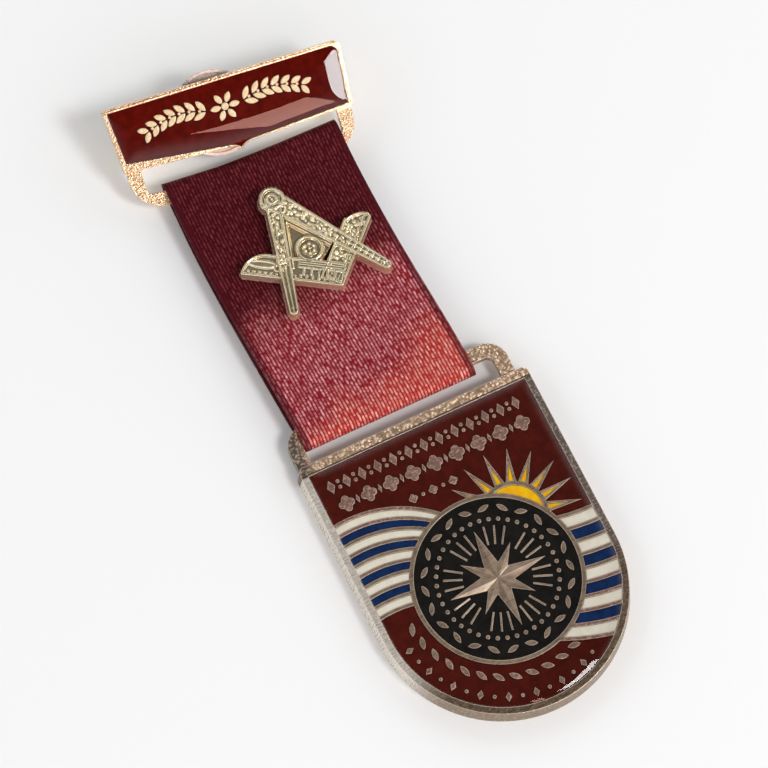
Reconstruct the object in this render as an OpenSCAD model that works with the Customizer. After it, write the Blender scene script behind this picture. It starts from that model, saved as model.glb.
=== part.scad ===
// Jewel of a society: an enamelled bar, a folded satin ribbon with a cast
// square and compasses, and an enamelled shield. It lies on its back.
// Millimetres, X across, Y from the shield to the bar, Z up from the table.

/* [Shield] */
// Width of the shield's face
shield_w = 33.5; // [31:0.5:38]
// Length of its straight sides, from the round foot's centre to the top edge
shield_side = 25.6; // [23:0.2:30]
// Thickness of the struck plate
shield_t = 2.7; // [2.4:0.1:3.2]
// Width of the rim at the sides and round the foot
shield_rim = 0.9; // [0.7:0.1:1.2]
// Width of the plain band along the top edge
top_band = 1.5; // [1.2:0.1:2]
// How far the back stands out past the face, because the wall is filed at a slant
wall_slant = 0.35; // [0.1:0.05:0.6]
// Cut-off at the two top corners
corner_cut = 0.9; // [0.5:0.1:1.4]
// Depth of the enamelled field
field_depth = 0.7; // [0.4:0.1:1]

/* [Loops] */
// Thickness of the flat loops that hold the ribbon
strip_t = 1.1; // [0.9:0.1:1.3]
// Width of their flat strip
strip_w = 2; // [1.6:0.1:2.4]
// Height of the slot above the shield
slot_h = 3.4; // [3.2:0.1:4]
// Half of the outer length of the shield's loop
shield_loop_half = 16; // [15.8:0.1:16.2]
// How far the shield's loop sits to the left of the middle
shield_loop_off = 0.65; // [0:0.05:0.8]
// Radius of that loop's outer corners
shield_loop_r = 3; // [2.6:0.1:3.4]
// Height of the slot under the bar
bar_slot_h = 3.75; // [3.5:0.05:4.2]
// Half of the outer length of the bar's loop
bar_loop_half = 15.9; // [15.4:0.1:16]
// Radius of that loop's outer corners
bar_loop_r = 4.4; // [4:0.1:4.8]
// Radius of the corners inside both slots
slot_r = 0.9; // [0.6:0.1:1.2]

/* [Cloisons] */
// Width of the raised metal lines between the enamels
line_w = 0.46; // [0.3:0.02:0.6]
// Joint between an enamel and the metal round it
enamel_gap = 0.03; // [0.02:0.01:0.06]
// How far the enamel lies below the metal
enamel_sink = 0.15; // [0.1:0.05:0.3]
// Step from one stripe line to the next on the left
left_pitch = 1.51; // [1.4:0.01:1.6]
// Step from one stripe line to the next on the right
right_pitch = 1.89; // [1.8:0.01:2]
// Radius of the stripes' wave on the left
left_wave_r = 16; // [14:0.5:18]
// Radius of the stripes' wave on the right
right_wave_r = 28; // [26:0.5:32]

/* [Medallion] */
// Radius of the black enamelled disc
disc_r = 10.9; // [10:0.1:11.2]
// Width of the metal ring round it
ring_w = 0.55; // [0.4:0.05:0.8]
// Its centre above the centre of the shield's round foot
disc_up = 1.2; // [0.8:0.1:1.6]
// Length of the four long points of the star, from its centre
star_r = 6.9; // [6:0.1:7.2]
// Radius of the bead ring
bead_ring_r = 8; // [7.8:0.1:8.2]
// Radius of the wreath of leaves
leaf_ring_r = 9.55; // [9.4:0.05:9.7]

/* [Rising sun] */
// Centre of the sun's disc from the medallion's centre, across and up
sun_at = [6, 6.8];
// Radius of the sun's disc
sun_r = 4.1; // [3.8:0.1:4.4]
// Length of the rays, from the sun's centre
ray_len = 8.9; // [8.4:0.1:9]
// Half of a ray's width at its root
ray_half = 0.78; // [0.6:0.02:0.85]

/* [Bar] */
// Length of the bar along its top edge
bar_w = 33.4; // [33.2:0.2:36]
// Height of the bar at its ends
bar_h = 8.9; // [8.6:0.1:9.4]
// Thickness of the bar's plate
bar_t = 2; // [1.8:0.1:2.4]
// Width of its rim
bar_rim = 0.55; // [0.45:0.05:0.8]
// Width of the plain metal along its lower edge, at the left end
bar_foot = 1.2; // [0.8:0.05:1.4]
// How far each end leans in at the foot
bar_lean = 0.55; // [0.3:0.05:1]
// How far the lower edge bows down towards the middle
bar_bow = 0.65; // [0.4:0.05:0.8]
// Cut-off at the top right corner
bar_cut = 0.6; // [0.3:0.1:1]
// How far the point in the middle of the lower edge stands down
point_drop = 0.7; // [0.5:0.05:0.9]
// Half of the width of that point
point_half = 1.8; // [1.4:0.1:2.4]
// Tilt of the bar, which stands on its loop's edge and on the clutch
bar_tilt = 28; // [26:0.5:30]

/* [Clutch and posts] */
// Radius of the clutch's flange
clutch_r = 5.85; // [5.4:0.05:6.1]
// Radius of the pin posts
post_r = 0.6; // [0.5:0.05:0.7]
// Room round a post in its bore
post_clear = 0.1; // [0.05:0.01:0.15]

/* [Ribbon] */
// Width of the satin ribbon
ribbon_w = 25; // [22:0.5:25.5]
// Thickness of one layer
ribbon_wall = 1; // [0.9:0.05:1.1]
// Distance between the centres of its two folds
ribbon_run = 39; // [36:0.2:44]
// Middle of the lower fold, to the left of the shield's middle
ribbon_off = 1.95; // [1.5:0.05:1.95]
// Room between the cloth and the metal strip inside a fold
fold_ease = 0.12; // [0.08:0.01:0.2]
// How far the edges hang below the middle of the front layer
edge_droop = 0.4; // [0:0.05:0.5]

/* [Emblem] */
// Turn of the emblem on the ribbon, anticlockwise
emblem_turn = 11; // [0:1:14]
// Height of the pin above the lower fold, as a share of the ribbon's run
pin_share = 0.6; // [0.59:0.001:0.62]
// How far the pin sits to the right of the ribbon's middle
pin_side = 0.5; // [0:0.05:1]
// Thickness of the emblem to the top of its rims
emblem_t = 1.9; // [1.5:0.1:2.2]
// Depth of its sunk panels
panel_depth = 0.4; // [0.2:0.05:0.5]
// Radius of the compasses' hinge
hinge_r = 1.7; // [1.5:0.05:1.8]
// Length of the left leg from the hinge's centre
left_leg_len = 16.6; // [15:0.1:18]
// Length of the right leg from the hinge's centre
right_leg_len = 18.4; // [17:0.1:20]
// Length of the left arm from the square's corner
left_arm_len = 13.6; // [12:0.1:15]
// Length of the right arm from the square's corner
right_arm_len = 11; // [10:0.1:13]
// Width of the left leg below the hinge
left_leg_w = 2; // [1.8:0.05:2.2]
// Width of the right leg below the hinge
right_leg_w = 2.7; // [2.4:0.05:2.9]
// Width of a leg at its tip
tip_w = 1.15; // [1:0.05:1.3]
// Width of the square's arms
arm_w = 3.2; // [3:0.05:3.4]

/* [Hidden] */
$fn = 48;

// The pin post and its clutch, from the bar's middle
clutch_at = [-1.8, -0.35];

// Turns of the ribbon and of the bar about Z, anticlockwise
ribbon_lean = 1.8;
bar_turn = -6.7;
// The clutch's flange, down from the bar's back
flange_down = 1.75;
flange_t = 0.6;
// Width of the bar's lower rim beside the point and at the right end
foot_mid = 0.25;
foot_right = 0.35;
// The bar's middle, to the left of the upper fold's middle
bar_off = 1.1;
// Slack of the folds in the two slots
low_slack = 0.35;
top_slack = 0.2;
floor_gap = 0.05;
seat_gap = 0.1;
// Metal lines lie this far below the rims
line_sink = 0.05;
hair = 0.02;
big = 60;

// Heights
wrap = strip_t / 2 + fold_ease + ribbon_wall / 2;
shield_strip_z = floor_gap + ribbon_wall / 2 + wrap;
field_z = shield_t - field_depth;
// The lower edge of the bar's loop stands on the ribbon's back layer
bar_reach = bar_h / 2 + bar_slot_h + strip_w;
bar_z = floor_gap + ribbon_wall + fold_ease + bar_reach * sin(bar_tilt);
// The middle line of the upper fold, down the bar and up from its back
head_v = bar_slot_h + bar_h / 2 - top_slack;
bar_strip_z = bar_z - head_v * sin(bar_tilt) + strip_t / 2 * cos(bar_tilt);

// Places in the shield's plane, from the centre of its round foot
foot_r = shield_w / 2;
field_r = foot_r - shield_rim;
field_top = shield_side - top_band;
disc_at = [0.3, disc_up];
ring_r = disc_r + ring_w;
fold_at = [-ribbon_off, shield_side + slot_h - low_slack];

function turned(p, a) = [p.x * cos(a) - p.y * sin(a), p.x * sin(a) + p.y * cos(a)];
top_fold = fold_at + turned([0, ribbon_run], ribbon_lean);
bar_at = top_fold
    + turned([-bar_off, head_v * cos(bar_tilt) + strip_t / 2 * sin(bar_tilt)], bar_turn);

// The box round everything, so that its middle is the origin
box_low = -(foot_r + wall_slant);
box_high = bar_at.y + turned([clutch_at.x, clutch_at.y * cos(bar_tilt)], bar_turn).y
    + clutch_r * cos(bar_tilt) + flange_down * sin(bar_tilt);
box_left = bar_at.x + turned([-bar_w / 2 + bar_lean, -bar_reach / 2], bar_turn).x;
box_right = foot_r + wall_slant;
middle = [(box_left + box_right) / 2, (box_low + box_high) / 2];

// Left stripe lines start here and right ones end here, from the disc's centre
left_start = [-14, 15.45];
right_end = [16, 3.4];
stripe_count = 9;

gold = [0.83, 0.70, 0.45];
nickel = [0.62, 0.56, 0.50];
maroon = [0.33, 0.06, 0.06];
pale_gold = [0.74, 0.67, 0.50];
clear = [0.9, 0.9, 0.9, 0.3];

module in_shield() {
    translate([-middle.x, -middle.y, 0]) children();
}

module on_disc() {
    translate(disc_at) children();
}

module in_ribbon() {
    in_shield() translate([fold_at.x, fold_at.y, 0]) rotate(ribbon_lean) children();
}

// Where the emblem's post goes through the ribbon, at height z
module at_pin(z) {
    in_ribbon() translate([pin_side, pin_share * ribbon_run, z]) children();
}

// The bar's back lies at height 0 here
module in_bar() {
    in_shield() translate([bar_at.x, bar_at.y, bar_z]) rotate([bar_tilt, 0, bar_turn])
        children();
}

// Flat shapes that the metal and the enamel share. g lets the shape grow.

module pellet(r, g = 0) {
    circle(r = r + g, $fn = 24);
}

module lozenge(a, b, g = 0) {
    polygon([[-a - g * 1.6, 0], [0, -b - g * 1.6], [a + g * 1.6, 0], [0, b + g * 1.6]]);
}

// A leaf between two arcs, pointing along X from its root at the origin
module leaf(len, w, g = 0) {
    arc_r = (len * len + w * w) / (4 * w);
    translate([len / 2, 0]) intersection() {
        translate([0, arc_r - w / 2]) circle(r = arc_r + g);
        translate([0, w / 2 - arc_r]) circle(r = arc_r + g);
    }
}

module quatrefoil(r, g = 0) {
    for (a = [0 : 90 : 270])
        rotate(a) translate([r * 0.52, 0]) pellet(r * 0.46, g);
    pellet(r * 0.42, g);
}

// A rounded slab outline, w by h, standing on the X axis at its middle
module slab(w, h, r) {
    translate([-w / 2 + r, 0]) square([w - 2 * r, h]);
    translate([-w / 2, 0]) square([w, h - r]);
    for (s = [-1, 1])
        translate([s * (w / 2 - r), h - r]) circle(r = r);
}

// The shield

module shield_outline(r, top, cut, sides = 96) {
    circle(r = r, $fn = sides);
    polygon([[-r, 0], [r, 0], [r, top - cut], [r - cut, top], [-r + cut, top],
        [-r, top - cut]]);
}

module field(g = 0) {
    shield_outline(field_r - g, field_top - g, 0);
}

// What lies below stripe line k on either side. up lifts the line.
module below_left(k, up = 0) {
    on_disc() translate([left_start.x, left_start.y - k * left_pitch - left_wave_r])
        circle(r = left_wave_r + up, $fn = 96);
}

module above_right(k, up = 0) {
    on_disc() translate([right_end.x, right_end.y - k * right_pitch + right_wave_r])
        circle(r = right_wave_r - up, $fn = 128);
}

module left_half() {
    translate([-big / 2, -big / 2]) square([big / 2 + disc_at.x, big]);
}

module right_half() {
    translate([disc_at.x, -big / 2]) square([big / 2, big]);
}

module left_line(k, half) {
    intersection() {
        left_half();
        translate([-big, disc_at.y + left_start.y - k * left_pitch - left_wave_r])
            square([2 * big, big]);
        difference() {
            below_left(k, half);
            below_left(k, -half);
        }
    }
}

module right_line(k, half) {
    intersection() {
        right_half();
        translate([0, -big / 2 + disc_at.y + right_end.y + 2]) square([big, big / 2]);
        difference() {
            above_right(k, -half);
            above_right(k, half);
        }
    }
}

module stripe_lines(g = 0) {
    for (k = [0 : stripe_count]) {
        left_line(k, line_w / 2 + g);
        right_line(k, line_w / 2 + g);
    }
}

module stripe(k) {
    intersection() {
        left_half();
        difference() {
            below_left(k);
            below_left(k + 1);
        }
    }
    intersection() {
        right_half();
        translate([0, -big / 2 + disc_at.y + right_end.y + 2]) square([big, big / 2]);
        difference() {
            above_right(k + 1);
            above_right(k);
        }
    }
}

module above_stripes() {
    difference() {
        field(enamel_gap);
        intersection() {
            left_half();
            union() {
                below_left(0);
                translate([-big / 2, -big / 2]) square([big, big / 2]);
            }
        }
        difference() {
            right_half();
            above_right(0);
        }
    }
}

module below_stripes() {
    intersection() {
        field(enamel_gap);
        union() {
            intersection() {
                left_half();
                below_left(stripe_count);
            }
            difference() {
                translate([disc_at.x, -big]) square([big, big]);
                above_right(stripe_count);
            }
        }
    }
}

module ring_disc(g = 0) {
    on_disc() circle(r = ring_r + g, $fn = 96);
}

// Sun

ray_first = -13;
ray_step = 20.9;
ray_count = 8;

module sun_place() {
    on_disc() translate(sun_at) children();
}

module ray(half, from, to) {
    polygon([[from, -half], [to, 0], [from, half]]);
}

module rays(g = 0) {
    for (i = [0 : ray_count - 1])
        rotate(ray_first + i * ray_step)
            ray(ray_half + g * 1.1, sun_r - 0.4, ray_len + g * 6);
}

module ray_fills(g = 0) {
    for (i = [0 : ray_count - 1])
        rotate(ray_first + i * ray_step)
            ray(ray_half * 0.5 + g, sun_r + 0.35, sun_r + (ray_len - sun_r) * 0.62 + g * 4);
}

module sun_metal(g = 0) {
    sun_place() {
        circle(r = sun_r + line_w / 2 + g);
        rays(g);
    }
}

module sun_face(g = 0) {
    difference() {
        sun_place() circle(r = sun_r - line_w / 2 + g);
        ring_disc(-g);
    }
}

// Ornament rows in the field above the stripes: heights above the disc's centre

upper_row_y = 20.35;
middle_row_y = 17.5;
lower_row_y = 14.35;
upper_pitch = 2.25;
middle_pitch = 3.2;
lower_pitch = 1.45;
row_end = 2.1;
upper_pairs = floor((field_r - row_end) / upper_pitch);
middle_pairs = floor((field_r - row_end) / middle_pitch);
tall_lozenge = [0.55, 0.95];
slim_lozenge = [0.24, 0.62];
foil_r = 1.12;
small_foil_r = 0.62;
pellet_r = 0.24;

module upper_row(g = 0) {
    for (i = [-upper_pairs : upper_pairs])
        translate([-0.6 + i * upper_pitch, upper_row_y]) {
            lozenge(tall_lozenge.x, tall_lozenge.y, g);
            if (i < upper_pairs)
                for (s = [-1, 1])
                    translate([upper_pitch / 2, s * 0.42]) pellet(pellet_r, g);
        }
}

module middle_row(g = 0) {
    for (i = [-middle_pairs : middle_pairs])
        translate([-0.4 + i * middle_pitch, middle_row_y]) {
            quatrefoil(foil_r, g);
            if (i < middle_pairs)
                translate([middle_pitch / 2, 0]) lozenge(slim_lozenge.x, slim_lozenge.y, g);
        }
}

module lower_row(g = 0) {
    for (i = [-2 : 2])
        translate([-2.2 + i * lower_pitch, lower_row_y])
            if (i % 2 == 0) quatrefoil(small_foil_r, g);
            else pellet(pellet_r, g);
}

// Rows round the foot: leaves in the inner one, lozenges and pellets in the outer. Both
// share the room between the medallion's ring and the field's edge.

foot_room = field_r - ring_r;
inner_row_r = ring_r + 0.375 * foot_room;
outer_row_r = field_r - 0.307 * foot_room;
foot_leaf = [1.75, 0.72];
wide_lozenge = [0.62, 0.4];

module foot_rows(g = 0) {
    for (i = [0 : 11])
        rotate(186 + i * 9.6) translate([inner_row_r, 0]) rotate(62)
            translate([-foot_leaf.x / 2, 0]) leaf(foot_leaf.x, foot_leaf.y, g);
    translate([-disc_at.x, -disc_at.y]) for (i = [0 : 15])
        rotate(190 + i * 7.2) translate([outer_row_r, 0])
            if (i % 2 == 0) lozenge(wide_lozenge.x, wide_lozenge.y, g);
            else pellet(pellet_r, g);
}

module field_ornament(g = 0) {
    on_disc() {
        upper_row(g);
        middle_row(g);
        lower_row(g);
    }
}

// Medallion: a star of eight points, fine rays, a bead ring and a wreath

fine_ray_in = 4.6;
fine_ray_out = 7.1;
fine_ray_w = 0.24;
bead_r = 0.27;

module star_points(len, half, count, start, g = 0) {
    for (i = [0 : count - 1])
        rotate(start + i * 360 / count)
            polygon([[0, -g * 1.3], [len * 0.22, -half - g * 1.1], [len + g * 5, 0],
                [len * 0.22, half + g * 1.1], [0, g * 1.3]]);
}

module medallion_star(g = 0) {
    star_points(star_r, 1.05, 4, 0, g);
    star_points(star_r * 0.74, 0.85, 4, 45, g);
}

module medallion_rays(g = 0) {
    for (i = [0 : 31])
        if (i % 4 != 0)
            rotate(i * 11.25)
                translate([fine_ray_in - g, -fine_ray_w / 2 - g])
                    square([fine_ray_out - fine_ray_in + 2 * g, fine_ray_w + 2 * g]);
}

module bead_ring(g = 0) {
    for (i = [0 : 39])
        rotate(i * 9) translate([bead_ring_r, 0]) circle(r = bead_r + g, $fn = 16);
}

module wreath(g = 0) {
    for (i = [0 : 23])
        rotate(i * 15) translate([leaf_ring_r, 0])
            rotate(i % 2 == 0 ? 66 : 114) translate([-0.85, 0]) leaf(1.7, 0.66, g);
}

module medallion_relief(g = 0) {
    on_disc() {
        medallion_star(g);
        medallion_rays(g);
        bead_ring(g);
        wreath(g);
    }
}

// Solid with a slanting wall: a cone frustum for the foot, a ridge for the sides
module slanted_plate() {
    low_r = foot_r + wall_slant;
    intersection() {
        union() {
            cylinder(h = shield_t, r1 = low_r, r2 = foot_r, $fn = 96);
            translate([0, shield_side, 0]) rotate([90, 0, 0]) linear_extrude(shield_side)
                polygon([[-low_r, 0], [low_r, 0], [foot_r, shield_t], [-foot_r, shield_t]]);
        }
        linear_extrude(shield_t) shield_outline(low_r, shield_side, corner_cut);
    }
}

module shield_loop() {
    root = top_band * 0.7;
    inside = 2 * (shield_loop_half - strip_w);
    difference() {
        translate([0, shield_side - root])
            slab(2 * shield_loop_half, root + slot_h + strip_w, shield_loop_r);
        translate([0, shield_side]) slab(inside, slot_h, slot_r);
        translate([-inside / 2, shield_side - root - 1]) square([inside, root + 1.01]);
    }
}

module shield_frame() {
    color(nickel) in_shield() {
        difference() {
            slanted_plate();
            translate([0, 0, field_z]) linear_extrude(field_depth + 1) field();
        }
        translate([-shield_loop_off, 0, shield_strip_z - strip_t / 2])
            linear_extrude(strip_t) shield_loop();
        translate([0, 0, field_z - hair]) linear_extrude(field_depth + hair - line_sink)
            intersection() {
                field(-hair);
                union() {
                    difference() {
                        stripe_lines();
                        ring_disc(-hair);
                    }
                    difference() {
                        ring_disc();
                        on_disc() circle(r = disc_r, $fn = 96);
                    }
                    difference() {
                        sun_metal();
                        ring_disc(-hair);
                        sun_face();
                        sun_place() ray_fills();
                    }
                    field_ornament();
                    on_disc() foot_rows();
                    medallion_relief();
                }
            }
    }
}

module enamel(h = field_depth - enamel_sink) {
    in_shield() translate([0, 0, field_z + enamel_gap]) linear_extrude(h - enamel_gap)
        children();
}

module enamel_top() {
    color(maroon) enamel() difference() {
        above_stripes();
        left_line(0, line_w / 2 + enamel_gap);
        right_line(0, line_w / 2 + enamel_gap);
        ring_disc(enamel_gap);
        sun_metal(enamel_gap);
        field_ornament(enamel_gap);
    }
}

module enamel_foot() {
    color(maroon) enamel() difference() {
        below_stripes();
        left_line(stripe_count, line_w / 2 + enamel_gap);
        right_line(stripe_count, line_w / 2 + enamel_gap);
        ring_disc(enamel_gap);
        on_disc() foot_rows(enamel_gap);
    }
}

module stripes(first) {
    enamel() for (k = [first : 2 : stripe_count - 1])
        difference() {
            intersection() {
                field(enamel_gap);
                stripe(k);
            }
            for (side = [k, k + 1]) {
                left_line(side, line_w / 2 + enamel_gap);
                right_line(side, line_w / 2 + enamel_gap);
            }
            ring_disc(enamel_gap);
        }
}

module enamel_white() {
    color([0.92, 0.90, 0.85]) stripes(0);
}

module enamel_blue() {
    color([0.09, 0.15, 0.38]) stripes(1);
}

module enamel_sun() {
    color([0.95, 0.75, 0.10]) enamel() {
        sun_face(-enamel_gap);
        difference() {
            intersection() {
                sun_place() ray_fills(-enamel_gap);
                above_stripes();
            }
            right_line(0, line_w / 2 + enamel_gap);
            ring_disc(enamel_gap);
        }
    }
}

module medallion_enamel() {
    color([0.08, 0.08, 0.08]) enamel() difference() {
        on_disc() circle(r = disc_r - enamel_gap, $fn = 96);
        medallion_relief(enamel_gap);
    }
}

// Clear coats: pillows that rise from the rim to a nearly flat middle

// Each step of a pillow: how far in from the rim it lies, and how high it stands
INSET = 0;
HEIGHT = 1;
pillow = [[0, 0.15], [0.7, 0.45], [1.8, 0.66], [3.4, 0.75]];
coat_lift = 0.03;
coat_base = -line_sink + coat_lift;
coat_sides = 64;

module shield_coat_outline(i) {
    shield_outline(field_r - enamel_gap - i, field_top - enamel_gap - i, 0, coat_sides);
}

module shield_dome() {
    color(clear) in_shield() translate([0, 0, shield_t + coat_base]) hull()
        for (step = pillow)
            linear_extrude(step[HEIGHT]) shield_coat_outline(step[INSET]);
}

// The bar

// Plate of the bar drawn in by i at the top and ends. At the foot it is drawn in by
// left and right at the two ends and by mid beside the point.
module bar_plate(i, left, mid, right) {
    half = bar_w / 2 - i;
    y0 = -bar_h / 2;
    y1 = bar_h / 2 - i;
    polygon([[-half, y1], [-half + bar_lean, y0 + left], [-point_half, y0 - bar_bow + mid],
        [point_half, y0 - bar_bow + mid], [half - bar_lean, y0 + right],
        [half, y1 - bar_cut], [half - bar_cut, y1]]);
}

module bar_outline() {
    bar_plate(0, 0, 0, 0);
    bar_point(0);
}

// The enamelled field. g draws it in on all sides.
module bar_field(g = 0) {
    bar_plate(bar_rim + g, bar_foot + g, foot_mid + g, foot_right + g);
    bar_point(foot_mid + g);
}

// The point in the middle of the lower edge, with a hollow flank on each side
module bar_point(low) {
    y0 = -bar_h / 2 - bar_bow + low;
    flank_r = (point_half * point_half + point_drop * point_drop) / (2 * point_drop);
    difference() {
        translate([-point_half, y0 - point_drop]) square([2 * point_half, point_drop + 0.2]);
        for (s = [-1, 1])
            translate([s * point_half, y0 - flank_r]) circle(r = flank_r, $fn = 96);
    }
}

module bar_loop() {
    root = 1.5;
    inside = 2 * (bar_loop_half - strip_w);
    translate([0, -bar_h / 2]) mirror([0, 1]) difference() {
        translate([0, -root]) slab(2 * bar_loop_half, root + bar_slot_h + strip_w, bar_loop_r);
        slab(inside, bar_slot_h, slot_r);
        translate([-inside / 2, -root - 1]) square([inside, root + 1.01]);
    }
}

// Laurel sprays on both sides of a rosette

spray_len = 10.6;
spray_leaves = 7;

function spray_y(x) = 1.9 * sin(150 * x / spray_len) - 1.1;

module spray(g = 0) {
    for (i = [0 : spray_leaves - 1]) {
        x = 2.6 + i * (spray_len - 1.2) / spray_leaves;
        a = atan2(spray_y(x + 0.3) - spray_y(x), 0.3);
        translate([x, spray_y(x)]) rotate(a) {
            for (s = [-1, 1])
                rotate(s * 38) translate([0.15, 0]) leaf(1.9 - i * 0.06, 0.78, g);
            if (i < spray_leaves - 1)
                translate([0.95, 0]) pellet(0.2, g);
        }
    }
}

module rosette(g = 0) {
    for (a = [0 : 60 : 300])
        rotate(a) translate([0.55, 0]) leaf(1.5, 0.8, g);
    pellet(0.5, g);
}

module bar_ornament(g = 0) {
    translate([-0.6, 0.3]) {
        rosette(g);
        spray(g);
        mirror([1, 0]) spray(g);
    }
}

module bar_frame() {
    color(gold) in_bar() {
        difference() {
            linear_extrude(bar_t) bar_outline();
            translate([0, 0, bar_t - field_depth]) linear_extrude(field_depth + 1)
                bar_field();
        }
        translate([0, 0, bar_t - field_depth - hair])
            linear_extrude(field_depth + hair - line_sink) bar_ornament();
        linear_extrude(strip_t) bar_loop();
        translate([clutch_at.x, clutch_at.y, -post_len])
            cylinder(h = post_len + hair, r = post_r);
    }
}

module bar_enamel() {
    color([0.36, 0.05, 0.04]) in_bar()
        translate([0, 0, bar_t - field_depth + enamel_gap])
            linear_extrude(field_depth - enamel_sink - enamel_gap) difference() {
                bar_field(enamel_gap);
                bar_ornament(enamel_gap);
            }
}

module bar_coat_outline(i) {
    bar_plate(bar_rim + enamel_gap + i, bar_foot + enamel_gap + i,
        foot_mid + enamel_gap + i, foot_right + enamel_gap + i);
}

module bar_dome() {
    color(clear) in_bar() translate([0, 0, bar_t + coat_base]) hull()
        for (step = pillow)
            linear_extrude(step[HEIGHT]) bar_coat_outline(step[INSET]);
}

// Clutch: a flange with a low lip, a boss under the bar and a cap whose edge stands on
// the table

cap_r = 4.2;
cap_foot_r = 3.6;
boss_r = 2.4;
lip_w = 0.45;
lip_up = 0.25;
flange_dish = 0.3;
cap_t = 0.9;
post_end_gap = 0.4;
clutch_h = (bar_z + (clutch_at.y - cap_foot_r) * sin(bar_tilt)) / cos(bar_tilt);
post_len = clutch_h - cap_t;

module clutch() {
    bore_r = post_r + post_clear;
    bore_end = -post_len - post_end_gap;
    lip = flange_t - flange_down;
    color([0.72, 0.66, 0.58]) in_bar() translate([clutch_at.x, clutch_at.y, 0])
        rotate_extrude($fn = 64)
            polygon([[bore_r, bore_end], [bore_r, -seat_gap], [boss_r, -seat_gap],
                [boss_r, lip], [clutch_r - lip_w, lip], [clutch_r - lip_w, lip + lip_up],
                [clutch_r, lip + lip_up], [clutch_r, -flange_down],
                [cap_r, -flange_down - flange_dish], [cap_r, cap_r - cap_foot_r - clutch_h],
                [cap_foot_r, -clutch_h], [0, -clutch_h], [0, bore_end]]);
}

// The ribbon: one closed band round both strips

// How far from the upper fold each layer leaves the slope of the bar's strip
rise = bar_strip_z - shield_strip_z;
spread = wrap / cos(bar_tilt);
front_bend = (rise + spread - wrap) / tan(bar_tilt);
back_bend = (rise - spread + wrap) / tan(bar_tilt);
// Shares of the run where the flat layers have a row
flat_rows = [0.10, 0.30, 0.50, 0.70, 0.85];
// Rows along the slope, as shares of the way from the fold to the bend
slope_rows = [1.25, 1, 0.8, 0.5];
fold_steps = 8;
across = [-1, -0.75, -0.4, 0, 0.4, 0.75, 1];

// Where the two folds lie at x: each runs along its own metal strip
function foot_at(x) = -x * tan(ribbon_lean);

function head_at(x) = ribbon_run + x * tan(bar_turn - ribbon_lean);

// Edges of the front layer hang down between the folds
function droop(x, share) =
    edge_droop * pow(2 * x / ribbon_w, 2) * pow(sin(180 * share), 2);

// A layer from the lower fold to the slope of the upper strip. bend is the distance
// from the upper fold where the flat stretch meets the slope.
function layer(x, bend, sign) = concat(
    [for (share = flat_rows)
        [foot_at(x) + (head_at(x) - foot_at(x)) * share,
            shield_strip_z + sign * wrap - (sign > 0 ? droop(x, share) : 0)]],
    [for (share = slope_rows)
        [head_at(x) - bend * share, shield_strip_z + sign * wrap
            + max(0, 1 - share) * bend * tan(bar_tilt)]]);

function fold(y, z, from) = [
    for (i = [0 : fold_steps])
        let (a = from - 180 * i / fold_steps)
        [y + wrap * cos(a), z + wrap * sin(a)]
];

function backwards(list) = [for (i = [len(list) - 1 : -1 : 0]) list[i]];

// Middle line of the cloth at x, seen from the left edge
function loop_line(x) = concat(
    fold(foot_at(x), shield_strip_z, 270),
    layer(x, front_bend, 1),
    fold(head_at(x), bar_strip_z, 90 + bar_tilt),
    backwards(layer(x, back_bend, -1)));

function side(line, i, shift) =
    let (
        n = len(line),
        d = line[(i + 1) % n] - line[(i + n - 1) % n],
        u = d / norm(d))
    line[i] + shift * [-u.y, u.x];

module ribbon_band() {
    lines = [for (s = across) loop_line(s * ribbon_w / 2)];
    n = len(lines[0]);
    m = len(across);
    points = [
        for (shift = [ribbon_wall / 2, -ribbon_wall / 2])
            for (j = [0 : m - 1])
                for (i = [0 : n - 1])
                    let (p = side(lines[j], i, shift))
                    [across[j] * ribbon_w / 2, p.x, p.y]
    ];
    function at(skin, j, i) = (skin * m + j) * n + i % n;
    outer = [
        for (j = [0 : m - 2])
            for (i = [0 : n - 1])
                each [[at(0, j, i), at(0, j, i + 1), at(0, j + 1, i)],
                    [at(0, j, i + 1), at(0, j + 1, i + 1), at(0, j + 1, i)]]
    ];
    inner = [
        for (j = [0 : m - 2])
            for (i = [0 : n - 1])
                each [[at(1, j, i), at(1, j + 1, i), at(1, j, i + 1)],
                    [at(1, j, i + 1), at(1, j + 1, i), at(1, j + 1, i + 1)]]
    ];
    left_edge = [
        for (i = [0 : n - 1])
            each [[at(0, 0, i), at(1, 0, i), at(0, 0, i + 1)],
                [at(0, 0, i + 1), at(1, 0, i), at(1, 0, i + 1)]]
    ];
    right_edge = [
        for (i = [0 : n - 1])
            each [[at(0, m - 1, i), at(0, m - 1, i + 1), at(1, m - 1, i)],
                [at(0, m - 1, i + 1), at(1, m - 1, i + 1), at(1, m - 1, i)]]
    ];
    polyhedron(points, concat(outer, inner, left_edge, right_edge));
}

module ribbon() {
    color([0.45, 0.10, 0.14]) difference() {
        in_ribbon() ribbon_band();
        at_pin(shield_strip_z) cylinder(h = 2 * wrap, r = post_r + 2 * post_clear);
    }
}

// The emblem: compasses over a square, cast in one with its post

emblem_tilt = 1;
emblem_base = 3.6;
hinge_up = 8.6;
corner_down = -6.75;
corner_right = 0.4;
emblem_rim = 0.36;
// Step from the legs' faces down to the arms'
arm_drop = 0.45;
hinge_rim = 0.4;
hinge_dot_r = 0.65;
ring_rim = 0.45;
ring_up = 0.1;
petal_r = 0.3;
petal_out = 0.62;
ring_out = 1.85;
web_t = 0.7;
web_r = 3.3;
// Where the web leaves the legs, down from the hinge
web_leg = 9;
// Each limb's angle from the downward or outward line, its length and its width
ANGLE = 0;
LENGTH = 1;
WIDTH = 2;
legs = [[-25.9, left_leg_len, left_leg_w], [22.6, right_leg_len, right_leg_w]];
arms = [[180 - 43.2, left_arm_len], [32.6, right_arm_len]];

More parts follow.
